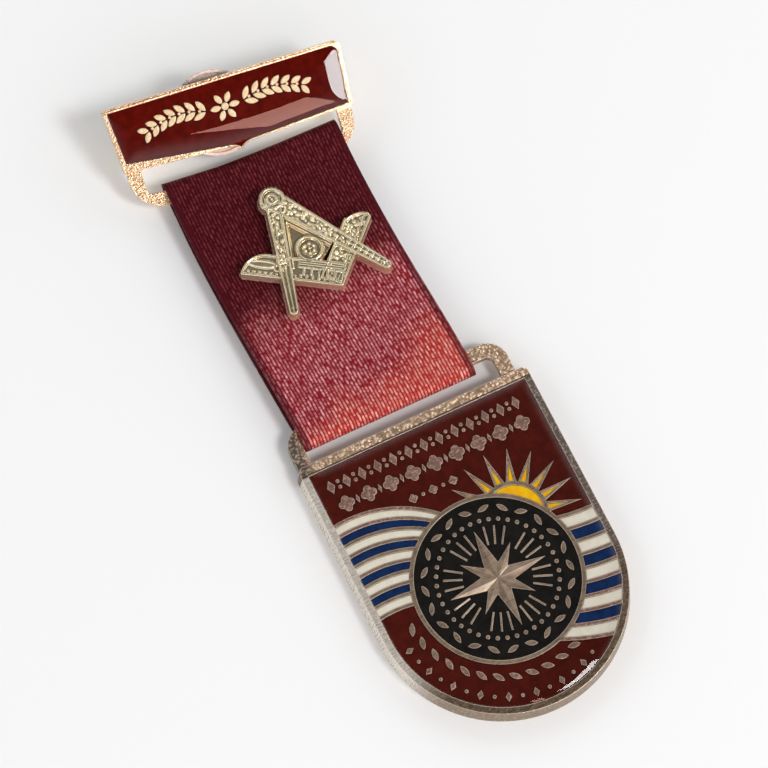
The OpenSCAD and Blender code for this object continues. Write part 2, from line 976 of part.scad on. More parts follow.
module in_emblem() {
    at_pin(emblem_base) rotate([emblem_tilt, 0, 0])
        rotate(emblem_turn - ribbon_lean) children();
}

// A leg hanging down from the hinge, drawn in by i
module leg_outline(i, len, w) {
    polygon([[-w / 2 + i, -hinge_r * 0.3], [w / 2 - i, -hinge_r * 0.3],
        [tip_w / 2 - i * 0.7, -len + tip_w / 2 + i * 2],
        [-tip_w / 2 + i * 0.7, -len + tip_w / 2 + i * 2]]);
    if (i == 0)
        translate([0, -len + tip_w / 2]) circle(r = tip_w / 2, $fn = 24);
}

// An arm along X from the square's corner, its inner side up, with a round end
module arm_outline(i, len) {
    translate([i, i]) square([len - arm_w - i, arm_w - 2 * i]);
    intersection() {
        translate([len - arm_w - 0.01, i]) square([arm_w, arm_w]);
        translate([len - arm_w, 0]) circle(r = arm_w - i);
    }
}

module place_arm(n) {
    translate([corner_right, corner_down]) rotate(arms[n][ANGLE])
        mirror([0, n == 0 ? 1 : 0]) children();
}

module place_leg(n) {
    translate([0, hinge_up]) rotate(legs[n][ANGLE]) children();
}

module emblem() {
    arm_h = emblem_t - arm_drop;
    color(pale_gold) in_emblem() {
        for (n = [0, 1]) {
            place_arm(n) difference() {
                linear_extrude(arm_h) arm_outline(0, arms[n][LENGTH]);
                translate([0, 0, arm_h - panel_depth]) linear_extrude(1)
                    arm_outline(emblem_rim, arms[n][LENGTH]);
            }
            place_leg(n) difference() {
                linear_extrude(emblem_t) leg_outline(0, legs[n][LENGTH], legs[n][WIDTH]);
                translate([0, 0, emblem_t - panel_depth]) linear_extrude(1)
                    leg_outline(emblem_rim, legs[n][LENGTH], legs[n][WIDTH]);
            }
        }
        translate([0, hinge_up, 0]) difference() {
            cylinder(h = emblem_t + 0.15, r = hinge_r);
            translate([0, 0, emblem_t - panel_depth / 2]) difference() {
                cylinder(h = emblem_t, r = hinge_r - hinge_rim);
                translate([0, 0, -emblem_t]) cylinder(h = 3 * emblem_t, r = hinge_dot_r);
            }
        }
        // Web behind the limbs, with the ring and its flower
        linear_extrude(web_t) polygon([[0, hinge_up - hinge_r / 2],
            for (leg = legs) [web_leg * sin(leg[ANGLE]), hinge_up - web_leg * cos(leg[ANGLE])]]);
        translate([0, ring_up, 0]) {
            cylinder(h = web_t, r = web_r);
            difference() {
                cylinder(h = arm_h, r = ring_out);
                translate([0, 0, web_t]) cylinder(h = emblem_t, r = ring_out - ring_rim);
            }
            for (a = [0 : 60 : 300])
                rotate(a) translate([petal_out, 0, 0])
                    cylinder(h = arm_h, r = petal_r, $fn = 16);
            cylinder(h = arm_h, r = petal_r, $fn = 16);
        }
    }
    color(pale_gold) at_pin(stud_z) cylinder(h = emblem_base - stud_z + web_t / 2, r = post_r);
}

// Stud that holds the emblem's post between the two layers of the ribbon

stud_z = 1.7;
stud_t = 0.6;
stud_r = 3.5;

module emblem_stud() {
    color([0.7, 0.66, 0.6]) at_pin(stud_z) difference() {
        cylinder(h = stud_t, r = stud_r);
        translate([0, 0, -stud_t]) cylinder(h = 3 * stud_t, r = post_r + post_clear);
    }
}

bar_frame();
bar_enamel();
bar_dome();
clutch();
ribbon();
emblem();
emblem_stud();
shield_frame();
enamel_top();
enamel_foot();
enamel_white();
enamel_blue();
enamel_sun();
medallion_enamel();
shield_dome();
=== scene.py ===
from math import cos, pi, radians, sin, tan

import bmesh
import bpy
from mathutils import Euler, Matrix, Vector
from mathutils.noise import noise, voronoi


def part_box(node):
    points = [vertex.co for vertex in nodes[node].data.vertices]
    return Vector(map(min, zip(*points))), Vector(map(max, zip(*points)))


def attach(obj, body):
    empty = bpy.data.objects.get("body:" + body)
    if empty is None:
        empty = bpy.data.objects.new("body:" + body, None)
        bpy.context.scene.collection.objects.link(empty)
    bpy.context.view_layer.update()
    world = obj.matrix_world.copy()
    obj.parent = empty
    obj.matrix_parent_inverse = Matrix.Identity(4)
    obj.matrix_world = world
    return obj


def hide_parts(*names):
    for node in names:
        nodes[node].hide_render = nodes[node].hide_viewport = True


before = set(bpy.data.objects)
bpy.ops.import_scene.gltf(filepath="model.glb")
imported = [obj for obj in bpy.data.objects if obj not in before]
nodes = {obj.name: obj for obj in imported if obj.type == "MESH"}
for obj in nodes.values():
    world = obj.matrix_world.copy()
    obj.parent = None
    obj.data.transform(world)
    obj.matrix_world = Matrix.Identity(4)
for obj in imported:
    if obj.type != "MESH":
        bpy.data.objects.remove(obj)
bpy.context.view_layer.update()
mm = 0.001

# Light and camera

studio = {
    "lens": 140.625,
    "cameraFromMedallion": (-68.41, -81.63, 376.44),
    "cameraTurn": (19.142, -1.641, -26.147),
    "floorSize": 4.0,
    "floorColour": (0.93, 0.95, 0.957),
    "horizonLight": 1.27,
    "zenithLight": 0.05,
    "horizonEnds": 0.5,
    "zenithStarts": 0.88,
}

# Lit panes: direction from the part, distance, width and height, radiance and colour
panes = {
    "window_right": {
        "toward": (0.36, -0.50, 0.79), "away": 1.60, "size": (0.42, 0.42), "glow": 19.0,
        "tint": (1, 1, 1),
    },
    "window_low": {
        "toward": (0.07, -0.67, 0.73), "away": 0.70, "size": (0.048, 0.26), "glow": 8.5,
        "tint": (1, 0.52, 0.42),
    },
}


def middleOf(node):
    low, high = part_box(node)
    return (low + high) / 2


def newObject(name, data):
    item = bpy.data.objects.new(name, data)
    bpy.context.collection.objects.link(item)
    return item


def pane(name, look):
    data = bpy.data.lights.new(name, "AREA")
    data.shape = "RECTANGLE"
    data.size, data.size_y = look["size"]
    data.energy = look["glow"] * pi * data.size * data.size_y
    data.color = look["tint"]
    light = newObject(name, data)
    toward = Vector(look["toward"]).normalized()
    light.location = middleOf("ribbon") + toward * look["away"]
    light.rotation_euler = (-toward).to_track_quat("-Z", "Y").to_euler()


def makeCamera():
    data = bpy.data.cameras.new("camera")
    data.lens = studio["lens"]
    data.sensor_width = 36
    data.clip_start = 0.01
    camera = newObject("camera", data)
    medallion = middleOf("medallion_enamel")
    x, y, z = studio["cameraFromMedallion"]
    camera.location = (medallion.x + x * mm, medallion.y + y * mm, z * mm)
    camera.rotation_euler = [radians(a) for a in studio["cameraTurn"]]
    bpy.context.scene.camera = camera


# Short forms for building materials

mixSockets = {
    "FLOAT": {"first": 2, "second": 3, "result": 0},
    "RGBA": {"first": 6, "second": 7, "result": 2},
}


def add(tree, kind, inputs=None, **settings):
    node = tree.nodes.new("ShaderNode" + kind)
    for name, value in settings.items():
        setattr(node, name, value)
    for name, value in (inputs or {}).items():
        socket = node.inputs[name]
        if isinstance(value, bpy.types.NodeSocket):
            tree.links.new(value, socket)
        else:
            socket.default_value = (*value, 1) if socket.type == "RGBA" else value
    return node


def place(tree, group, inputs):
    return add(tree, "Group", inputs, node_tree=group).outputs


def mathNode(tree, operation, *values):
    return add(tree, "Math", dict(enumerate(values)), operation=operation).outputs[0]


def product(tree, first, *others):
    for value in others:
        first = mathNode(tree, "MULTIPLY", first, value)
    return first


def oneMinus(tree, value):
    return mathNode(tree, "SUBTRACT", 1.0, value)


def distance(tree, x, y):
    return mathNode(tree, "SQRT", mathNode(tree, "ADD", product(tree, x, x), product(tree, y, y)))


def vectorNode(tree, operation, *values):
    return add(tree, "VectorMath", dict(enumerate(values)), operation=operation).outputs["Vector"]


def parted(tree, vector):
    return add(tree, "SeparateXYZ", {0: vector}).outputs


def scaled(tree, vector, factor):
    return add(tree, "VectorMath", {0: vector, "Scale": factor}, operation="SCALE").outputs["Vector"]


def mix(tree, factor, first, second, kind="RGBA", blend="MIX"):
    at = mixSockets[kind]
    node = add(tree, "Mix", {0: factor, at["first"]: first, at["second"]: second}, data_type=kind,
               blend_type=blend)
    return node.outputs[at["result"]]


def ramp(tree, value, low, high, bottom=0.0, top=1.0):
    node = add(tree, "MapRange", {"Value": value, "From Min": low, "From Max": high, "To Min": bottom,
                                  "To Max": top}, interpolation_type="SMOOTHSTEP")
    return node.outputs["Result"]


def fadeFrom(tree, value, origin, fade):
    starts, ends = fade
    return ramp(tree, value, origin + starts, origin + ends)


def noiseNode(tree, vector, scale, detail, roughness=0.5):
    return add(tree, "TexNoise", {"Vector": vector, "Scale": scale, "Detail": detail,
                                  "Roughness": roughness}).outputs


def objectSpot(tree):
    return add(tree, "TexCoord").outputs["Object"]


def newMaterial(name):
    material = bpy.data.materials.new(name)
    material.use_nodes = True
    material.node_tree.nodes.clear()
    return material, material.node_tree


def newGroup(name, inputs, outputs):
    group = bpy.data.node_groups.new(name, "ShaderNodeTree")
    for label, kind, value in inputs:
        socket = group.interface.new_socket(label, in_out="INPUT", socket_type="NodeSocket" + kind)
        socket.default_value = value
    for label, kind in outputs:
        group.interface.new_socket(label, in_out="OUTPUT", socket_type="NodeSocket" + kind)
    start = group.nodes.new("NodeGroupInput")
    end = group.nodes.new("NodeGroupOutput")
    return group, start.outputs, end.inputs


# Effects that several finishes share

maskSpans = {"specks": (0.0, 0.35), "clouds": (0.3, 0.7), "edges": (0.998, 0.90), "streaks": (0.25, 0.75)}


def recessGroup():
    group, given, out = newGroup("recess", [("Reach", "Float", 0.5), ("Contrast", "Float", 1.0)],
                                 [("Mask", "Float")])
    reach = product(group, given["Reach"], mm)
    shade = add(group, "AmbientOcclusion", {"Distance": reach}, samples=6, only_local=True).outputs["AO"]
    mask = product(group, oneMinus(group, shade), given["Contrast"])
    group.links.new(mathNode(group, "MINIMUM", mask, 1.0), out["Mask"])
    return group


def grainGroup():
    group, given, out = newGroup("castGrain", [("Size", "Float", 0.3), ("Roughness", "Float", 0.6)],
                                 [("Height", "Float"), ("Specks", "Float")])
    spot = objectSpot(group)
    scale = mathNode(group, "DIVIDE", 1 / mm, given["Size"])
    blobs = add(group, "TexVoronoi", {"Vector": spot, "Scale": scale}, feature="SMOOTH_F1")
    fine = noiseNode(group, spot, scale, 4.0, given["Roughness"])
    height = mathNode(group, "SUBTRACT", fine["Fac"], blobs.outputs["Distance"])
    group.links.new(height, out["Height"])
    group.links.new(ramp(group, height, *maskSpans["specks"]), out["Specks"])
    return group


def brushGroup():
    group, given, out = newGroup("brushing", [("Along", "Vector", (1, 12, 1)), ("Fineness", "Float", 600.0)],
                                 [("Height", "Float")])
    stretched = vectorNode(group, "MULTIPLY", objectSpot(group), given["Along"])
    streaks = noiseNode(group, stretched, given["Fineness"], 5.0, 0.65)
    group.links.new(streaks["Fac"], out["Height"])
    return group


def cloudGroup():
    group, given, out = newGroup("clouding", [("Size", "Float", 4.0)], [("Mask", "Float")])
    scale = mathNode(group, "DIVIDE", 1 / mm, given["Size"])
    cloud = noiseNode(group, objectSpot(group), scale, 3.0)
    group.links.new(ramp(group, cloud["Fac"], *maskSpans["clouds"]), out["Mask"])
    return group


# The mask grows where the rounded normal turns away from the face's own
def roundedEdgeGroup():
    group, given, out = newGroup("roundedEdge", [("Reach", "Float", 0.1)],
                                 [("Mask", "Float"), ("Normal", "Vector")])
    reach = product(group, given["Reach"], mm)
    rounded = add(group, "Bevel", {"Radius": reach}, samples=6).outputs[0]
    flat = add(group, "NewGeometry").outputs["True Normal"]
    match = add(group, "VectorMath", {0: rounded, 1: flat}, operation="DOT_PRODUCT").outputs["Value"]
    group.links.new(ramp(group, match, *maskSpans["edges"]), out["Mask"])
    group.links.new(rounded, out["Normal"])
    return group


recess = recessGroup()
roundedEdge = roundedEdgeGroup()
castGrain = grainGroup()
brushing = brushGroup()
clouding = cloudGroup()


# Metals

def metal(name, look, zones=None, facets=None):
    material, tree = newMaterial(name)
    hollow = place(tree, recess, {"Reach": look["patinaReach"], "Contrast": look["patinaDepth"]})["Mask"]
    grain = place(tree, castGrain, {"Size": look["grainSize"]})
    streaks = place(tree, brushing, {"Along": look["brushAlong"], "Fineness": look["brushFine"]})["Height"]
    clouds = place(tree, clouding, {"Size": look["cloudSize"]})["Mask"]
    wornAndHighlit = place(tree, roundedEdge, {"Reach": look["edge"]})

    tone = mix(tree, clouds, look["colour"], look["darker"])
    pits = look["grainHeight"]
    shine = look["metallic"]
    for mask, zone in (zones(tree) if zones else []):
        speckled = mix(tree, grain["Specks"], zone["pit"], zone["colour"])
        tone = mix(tree, mask, tone, speckled)
        pits = mix(tree, mask, pits, zone["grain"], "FLOAT")
        shine = mix(tree, mask, shine, zone["metal"], "FLOAT")
    tone = mix(tree, hollow, tone, look["patina"])
    # Rounded edges take a lighter colour: partly rubbed wear, partly a painted highlight
    tone = mix(tree, product(tree, wornAndHighlit["Mask"], look["wearAndHighlight"]), tone, look["wornAndHighlit"])
    roughness = ramp(tree, streaks, *maskSpans["streaks"], *look["roughness"])
    edge = facets(tree, wornAndHighlit["Normal"]) if facets else wornAndHighlit["Normal"]
    brushed = product(tree, streaks, look["brushHeight"])
    lift = product(tree, grain["Height"], pits)
    bump = add(tree, "Bump", {"Height": mathNode(tree, "ADD", brushed, lift), "Distance": mm,
                              "Normal": edge}).outputs[0]
    shader = add(tree, "BsdfPrincipled", {"Base Color": tone, "Metallic": shine, "Roughness": roughness,
                                          "Normal": bump})
    add(tree, "OutputMaterial", {"Surface": shader.outputs[0]})
    return material


shieldPlace = {
    "footUnderMedallion": (0.3, 1.2), "fieldRadius": 15.85, "fieldTop": 24.1, "ringRadius": 11.45,
    "starRadius": 6.9, "starPoints": 8, "starLean": 0.34,
}

# Where each zone fades in, mm from the middle of the field's arc or from the edge that is named
shieldFades = {
    "fieldEdge": (-0.1, 0.1), "rightward": (-6.0, 6.0), "rightRim": (-7.0, 3.0), "leftWall": (-11.0, -4.0),
    "upperField": (13.6, 14.4), "lowerField": (-4.0, -5.0), "outOfRing": (0.1, 0.3), "inStar": (0.05, -0.05),
    "leftEnd": (1.2, 0.2), "seam": (0.36, 0.24),
}

# Colour and that of its pits, height of the grain in mm, and share of metal, for this piece and others
shieldTones = {
    "topBand": {"colour": (0.88, 0.65, 0.45), "pit": (0.40, 0.27, 0.18), "grain": 0.16, "metal": 0.8},
    "tarnish": {"colour": (0.42, 0.32, 0.24), "pit": (0.12, 0.09, 0.07), "grain": 0.12, "metal": 0.5},
    "seam": {"colour": (0.15, 0.10, 0.07), "pit": (0.10, 0.07, 0.05), "grain": 0.02, "metal": 0.4},
    "rightRim": {"colour": (0.44, 0.36, 0.30), "pit": (0.21, 0.165, 0.14), "grain": 0.05, "metal": 0.6},
    "footRim": {"colour": (0.36, 0.27, 0.18), "pit": (0.25, 0.18, 0.12), "grain": 0.04, "metal": 0.8},
    "leftWall": {"colour": (0.84, 0.79, 0.71), "pit": (0.70, 0.64, 0.56), "grain": 0.02, "metal": 0.5},
    "ornament": {"colour": (0.54, 0.34, 0.27), "pit": (0.27, 0.16, 0.125), "grain": 0.03, "metal": 0.3},
}


def arcMiddle(height):
    medallion = middleOf("medallion_enamel")
    across, down = shieldPlace["footUnderMedallion"]
    return Vector((medallion.x - across * mm, medallion.y - down * mm, height))


def shieldWay(tree):
    local = vectorNode(tree, "SUBTRACT", objectSpot(tree), arcMiddle(0))
    return parted(tree, scaled(tree, local, 1 / mm))


def fromMedallion(tree, way):
    across, down = shieldPlace["footUnderMedallion"]
    return mathNode(tree, "SUBTRACT", way["X"], across), mathNode(tree, "SUBTRACT", way["Y"], down)


def shieldZones(tree):
    fades = shieldFades
    tones = shieldTones
    way = shieldWay(tree)
    below = mathNode(tree, "MINIMUM", way["Y"], 0.0)
    reach = distance(tree, way["X"], below)
    outside = fadeFrom(tree, reach, shieldPlace["fieldRadius"], fades["fieldEdge"])
    above = fadeFrom(tree, way["Y"], shieldPlace["fieldTop"], fades["fieldEdge"])
    seam = fadeFrom(tree, way["Y"], shieldPlace["fieldTop"], fades["seam"])
    leftEnd = fadeFrom(tree, way["X"], -shieldPlace["fieldRadius"], fades["leftEnd"])
    rightward = ramp(tree, way["X"], *fades["rightward"])
    rightRim = ramp(tree, way["Y"], *fades["rightRim"])
    leftWall = ramp(tree, way["Y"], *fades["leftWall"])
    fields = mathNode(tree, "MAXIMUM", ramp(tree, way["Y"], *fades["upperField"]),
                      ramp(tree, way["Y"], *fades["lowerField"]))
    fromDisc = distance(tree, *fromMedallion(tree, way))
    outOfRing = fadeFrom(tree, fromDisc, shieldPlace["ringRadius"], fades["outOfRing"])
    return [
        (product(tree, outOfRing, fields), tones["ornament"]),
        (outside, tones["footRim"]),
        (product(tree, outside, oneMinus(tree, rightward), leftWall), tones["leftWall"]),
        (product(tree, outside, rightward, rightRim), tones["rightRim"]),
        (above, tones["topBand"]),
        (product(tree, above, leftEnd), tones["tarnish"]),
        (product(tree, above, seam), tones["seam"]),
    ]


# Turns the normal to either side of each ray's middle line, so the flat star looks faceted
def starFacets(tree, normal):
    x, y = fromMedallion(tree, shieldWay(tree))
    angle = mathNode(tree, "ARCTAN2", y, x)
    side = mathNode(tree, "SIGN", mathNode(tree, "SINE", product(tree, angle, shieldPlace["starPoints"])))
    inStar = fadeFrom(tree, distance(tree, x, y), shieldPlace["starRadius"], shieldFades["inStar"])
    lean = product(tree, side, inStar, shieldPlace["starLean"])
    tangent = add(tree, "CombineXYZ", {0: product(tree, mathNode(tree, "SINE", angle), -1.0),
                                       1: mathNode(tree, "COSINE", angle)}).outputs[0]
    tilted = vectorNode(tree, "ADD", normal, scaled(tree, tangent, lean))
    return vectorNode(tree, "NORMALIZE", tilted)


# In each look the lighter edge colour and its share give rounded edges partly rubbed wear, partly a painted
# highlight
bronzeLook = {
    "colour": (0.36, 0.27, 0.185), "darker": (0.23, 0.165, 0.115), "patina": (0.07, 0.045, 0.03),
    "patinaReach": 0.35, "patinaDepth": 0.7, "grainSize": 0.38, "grainHeight": 0.003, "metallic": 0.35,
    "brushAlong": (1, 9, 1), "brushFine": 500.0, "brushHeight": 0.006, "cloudSize": 1.2,
    "roughness": (0.22, 0.40), "edge": 0.17, "wornAndHighlit": (0.93, 0.76, 0.62), "wearAndHighlight": 0.75,
}

giltLook = {
    "colour": (0.92, 0.68, 0.44), "darker": (0.82, 0.56, 0.34), "patina": (0.14, 0.05, 0.02),
    "patinaReach": 0.3, "patinaDepth": 0.8, "grainSize": 0.26, "grainHeight": 0.03, "metallic": 0.9,
    "brushAlong": (1, 8, 1), "brushFine": 600.0, "brushHeight": 0.01, "cloudSize": 2.5,
    "roughness": (0.12, 0.26), "edge": 0.22, "wornAndHighlit": (1.0, 0.86, 0.66), "wearAndHighlight": 0.4,
}

antiqueLook = {
    "colour": (0.84, 0.73, 0.50), "darker": (0.70, 0.59, 0.37), "patina": (0.13, 0.10, 0.045),
    "patinaReach": 0.34, "patinaDepth": 1.6, "grainSize": 0.35, "grainHeight": 0.014, "metallic": 0.75,
    "brushAlong": (1, 3, 1), "brushFine": 500.0, "brushHeight": 0.004, "cloudSize": 2.0,
    "roughness": (0.10, 0.22), "edge": 0.05, "wornAndHighlit": (1.0, 0.94, 0.76), "wearAndHighlight": 0.3,
}

clutchLook = {
    "colour": (0.66, 0.57, 0.52), "darker": (0.54, 0.46, 0.41), "patina": (0.05, 0.04, 0.035),
    "patinaReach": 0.5, "patinaDepth": 0.7, "grainSize": 0.5, "grainHeight": 0.004, "metallic": 0.8,
    "brushAlong": (1, 1, 8), "brushFine": 500.0, "brushHeight": 0.006, "cloudSize": 3.0,
    "roughness": (0.22, 0.34), "edge": 0.06, "wornAndHighlit": (0.9, 0.85, 0.8), "wearAndHighlight": 0.3,
}

# The same for the bar, mm from its middle or from the edge that is named
barFades = {
    "leftEnd": (0.7, 0.4), "footBand": (1.3, 1.0), "leftPart": (-4.0, -9.0), "loop": (-0.3, -0.6),
    "halfWide": (14.2, 14.0), "halfTall": (3.2, 3.0), "seamFoot": (-0.34, -0.28), "seamTop": (-0.15, -0.20),
}
barTones = {
    "grain": {"colour": (0.96, 0.76, 0.52), "pit": (0.60, 0.38, 0.22), "grain": 0.10, "metal": 0.7},
    "cream": {"colour": (0.95, 0.77, 0.48), "pit": (0.86, 0.65, 0.38), "grain": 0.02, "metal": 0.1},
    "seam": {"colour": (0.30, 0.15, 0.08), "pit": (0.20, 0.09, 0.05), "grain": 0.03, "metal": 0.6},
}


def barZones(tree):
    fades = barFades
    local = add(tree, "Mapping", {"Vector": objectSpot(tree), "Location": barMiddle(),
                                  "Rotation": barTurn()}, vector_type="TEXTURE").outputs[0]
    way = parted(tree, scaled(tree, local, 1 / mm))
    half = bar["width"] / 2 - bar["rim"]
    top = bar["tall"] / 2
    leftEnd = fadeFrom(tree, way["X"], -half, fades["leftEnd"])
    footBand = fadeFrom(tree, way["Y"], -top, fades["footBand"])
    leftPart = ramp(tree, way["X"], *fades["leftPart"])
    loop = fadeFrom(tree, way["Y"], -top, fades["loop"])
    foot = product(tree, footBand, leftPart)
    rough = mathNode(tree, "MAXIMUM", mathNode(tree, "MAXIMUM", leftEnd, foot), loop)
    inField = product(tree, ramp(tree, mathNode(tree, "ABSOLUTE", way["X"]), *fades["halfWide"]),
                      ramp(tree, mathNode(tree, "ABSOLUTE", way["Y"]), *fades["halfTall"]))
    seam = product(tree, fadeFrom(tree, way["Y"], top, fades["seamFoot"]),
                   fadeFrom(tree, way["Y"], top, fades["seamTop"]))
    return [(rough, barTones["grain"]), (inField, barTones["cream"]), (seam, barTones["seam"])]


# Low, steep walls of the emblem take a coppery colour: a painted reflection of the red ribbon below them
wallRibbonReflection = {"colour": (0.84, 0.50, 0.36), "pit": (0.70, 0.38, 0.26), "grain": 0.02, "metal": 0.6}
wallFades = {"steep": (0.75, 0.4), "low": (1.1, 0.7)}


def wallZones(tree):
    facing = parted(tree, add(tree, "NewGeometry").outputs["Normal"])["Z"]
    height = scaled(tree, objectSpot(tree), 1 / mm)
    low = fadeFrom(tree, parted(tree, height)["Z"], emblem["base"], wallFades["low"])
    # Painted reflection of the ribbon on the low, steep walls
    return [(product(tree, ramp(tree, facing, *wallFades["steep"]), low), wallRibbonReflection)]


# Enamels

def enamel(name, look):
    material, tree = newMaterial(name)
    clouds = place(tree, clouding, {"Size": look["cloudSize"]})["Mask"]
    border = place(tree, roundedEdge, {"Reach": look["border"]})
    tone = mix(tree, clouds, look["colour"], look["deeper"])
    # A dark line along each enamel's border next to the raised metal: painted shade with some patina
    tone = mix(tree, product(tree, border["Mask"], look["borderShadeAndPatina"]), tone, look["borderShadeAndPatinaTone"])
    bump = add(tree, "Bump", {"Height": clouds, "Distance": look["unevenness"] * mm,
                              "Normal": border["Normal"]}).outputs[0]
    roughness = ramp(tree, clouds, 0.0, 1.0, *look["roughness"])
    shader = add(tree, "BsdfPrincipled", {"Base Color": tone, "Roughness": roughness, "Normal": bump,
                                          "Specular IOR Level": 0.0})
    add(tree, "OutputMaterial", {"Surface": shader.outputs[0]})
    return material


maroon = {"colour": (0.085, 0.010, 0.006), "deeper": (0.060, 0.008, 0.005)}
enamelLooks = {
    "bar_enamel": {"colour": (0.125, 0.005, 0.002), "deeper": (0.085, 0.003, 0.001)},
    "enamel_top": maroon,
    "enamel_foot": maroon,
    "enamel_white": {"colour": (0.84, 0.80, 0.68), "deeper": (0.78, 0.74, 0.62), "borderShadeAndPatina": 0.4},
    "enamel_blue": {"colour": (0.010, 0.033, 0.118), "deeper": (0.007, 0.022, 0.082)},
    "enamel_sun": {"colour": (0.92, 0.58, 0.01), "deeper": (0.88, 0.42, 0.012)},
    "medallion_enamel": {"colour": (0.009, 0.009, 0.008), "deeper": (0.015, 0.014, 0.012)},
}
# The border reach and the darker tone draw a line of painted shade and patina along each enamel's border
enamelSurface = {
    "cloudSize": 1.1, "unevenness": 0.012, "roughness": (0.35, 0.47),
    "border": 0.12, "borderShadeAndPatina": 0.8, "borderShadeAndPatinaTone": (0.030, 0.019, 0.013),
}

coatLook = {"ior": 1.5, "gloss": 0.0}


def clearCoat():
    material, tree = newMaterial("clear_coat")
    glare = add(tree, "Fresnel", {"IOR": coatLook["ior"]}).outputs[0]
    front = oneMinus(tree, add(tree, "NewGeometry").outputs["Backfacing"])
    share = product(tree, glare, front)
    through = add(tree, "BsdfTransparent").outputs[0]
    gloss = add(tree, "BsdfGlossy", {"Roughness": coatLook["gloss"]}).outputs[0]
    mixed = add(tree, "MixShader", {0: share, 1: through, 2: gloss}).outputs[0]
    add(tree, "OutputMaterial", {"Surface": mixed})
    return material


def meshPiece(name, bm, material):
    mesh = bpy.data.meshes.new(name)
    for face in bm.faces:
        face.smooth = True
    bm.to_mesh(mesh)
    bm.free()
    mesh.materials.append(material)
    piece = newObject(name, mesh)
    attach(piece, "root")
    return piece


# Clear coats

coat = {
    "edge": 0.13, "fall": 2.2, "rings": 44, "crowding": 1.3, "around": 220, "gap": 0.03, "sink": 0.02,
    "sharpness": 5, "arcSteps": 72,
}
shieldSwell = {"rise": 0.50, "reach": 1.9}
barSwell = {"rise": 0.46, "reach": 2.4, "rightSlope": 0.7}


# Close to the least of the values, without a crease where two of them are equal
def softLeast(values):
    near = [max(v, 1e-4) for v in values]
    return sum(v ** -coat["sharpness"] for v in near) ** (-1 / coat["sharpness"])


def aroundOutline(corners, count):
    legs = [(b - a).length for a, b in zip(corners, corners[1:] + corners[:1])]
    total = sum(legs)
    points = []
    for a, b, leg in zip(corners, corners[1:] + corners[:1], legs):
        steps = max(1, round(count * leg / total))
        points += [a + (b - a) * i / steps for i in range(steps)]
    return points


def dome(name, corners, depthAt, swell, matrix, material):
    centre = sum(corners, Vector((0, 0))) / len(corners)
    edge = aroundOutline(corners, coat["around"])
    bm = bmesh.new()

    def ring(share, height):
        spots = [centre + (p - centre) * share for p in edge]
        return [bm.verts.new((p.x * mm, p.y * mm, height(p) * mm)) for p in spots]

    def heightAt(p):
        depth = min(1.0, max(0.0, depthAt(p)) / swell["reach"])
        return coat["edge"] + (swell["rise"] - coat["edge"]) * (1 - (1 - depth) ** coat["fall"])

    rings = [ring(1.0, lambda p: 0.0), ring(1.0, lambda p: coat["edge"])]
    for k in range(1, coat["rings"]):
        rings.append(ring(1 - (k / coat["rings"]) ** coat["crowding"], heightAt))
    count = len(edge)
    for low, high in zip(rings, rings[1:]):
        for i in range(count):
            bm.faces.new((low[i], low[(i + 1) % count], high[(i + 1) % count], high[i]))
    bm.faces.new(rings[-1])
    bm.faces.new(rings[0][::-1])
    bmesh.ops.recalc_face_normals(bm, faces=bm.faces)
    bmesh.ops.transform(bm, matrix=matrix, verts=bm.verts)
    return meshPiece(name, bm, material)


def shieldCoat(material):
    radius = shieldPlace["fieldRadius"] - coat["gap"]
    top = shieldPlace["fieldTop"] - coat["gap"]
    steps = coat["arcSteps"]
    turns = [pi + pi * i / steps for i in range(steps + 1)]
    corners = [Vector((radius * cos(a), radius * sin(a))) for a in turns]
    corners += [Vector((radius, top)), Vector((-radius, top))]

    def depthAt(p):
        return softLeast((radius - Vector((p.x, min(p.y, 0.0))).length, top - p.y))

    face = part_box("shield_frame")[1].z - coat["sink"] * mm
    piece = dome("shield_coat", corners, depthAt, shieldSwell, Matrix.Translation(arcMiddle(face)), material)
    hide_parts("shield_dome")


bar = {
    "fromMedallion": (-3.713, 73.831), "height": 5.959, "turn": -6.7, "tilt": 28.0,
    "width": 33.4, "tall": 8.9, "thick": 2.0, "rim": 0.55, "lean": 0.55, "cut": 0.6, "bow": 0.65,
    "footLeft": 1.2, "footMid": 0.25, "footRight": 0.35, "pointHalf": 1.8,
}


def barMiddle():
    medallion = middleOf("medallion_enamel")
    x, y = bar["fromMedallion"]
    return Vector((medallion.x + x * mm, medallion.y + y * mm, bar["height"] * mm))


def barTurn():
    return Euler((radians(bar["tilt"]), 0, radians(bar["turn"])))


def barCoat(material):
    inset = bar["rim"] + coat["gap"]
    half = bar["width"] / 2 - inset
    high = bar["tall"] / 2 - inset
    foot = -bar["tall"] / 2 + coat["gap"]
    middle = foot - bar["bow"] + bar["footMid"]
    corners = [Vector(spot) for spot in (
        (-half, high), (-half + bar["lean"], foot + bar["footLeft"]), (-bar["pointHalf"], middle),
        (bar["pointHalf"], middle), (half - bar["lean"], foot + bar["footRight"]), (half, high - bar["cut"]),
        (half - bar["cut"], high),
    )]
    rightSide = 4
    sides = []
    for a, c in zip(corners, corners[1:] + corners[:1]):
        along = (c - a).normalized()
        sides.append((Vector((-along.y, along.x)), a))

    def depthAt(p):
        reaches = [inward.dot(p - a) for inward, a in sides]
        reaches[rightSide] *= barSwell["rightSlope"]
        return softLeast(reaches)

    lift = Matrix.Translation((0, 0, (bar["thick"] - coat["sink"]) * mm))
    matrix = Matrix.Translation(barMiddle()) @ barTurn().to_matrix().to_4x4() @ lift
    piece = dome("bar_coat", corners, depthAt, barSwell, matrix, material)
    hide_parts("bar_dome")


# The satin ribbon

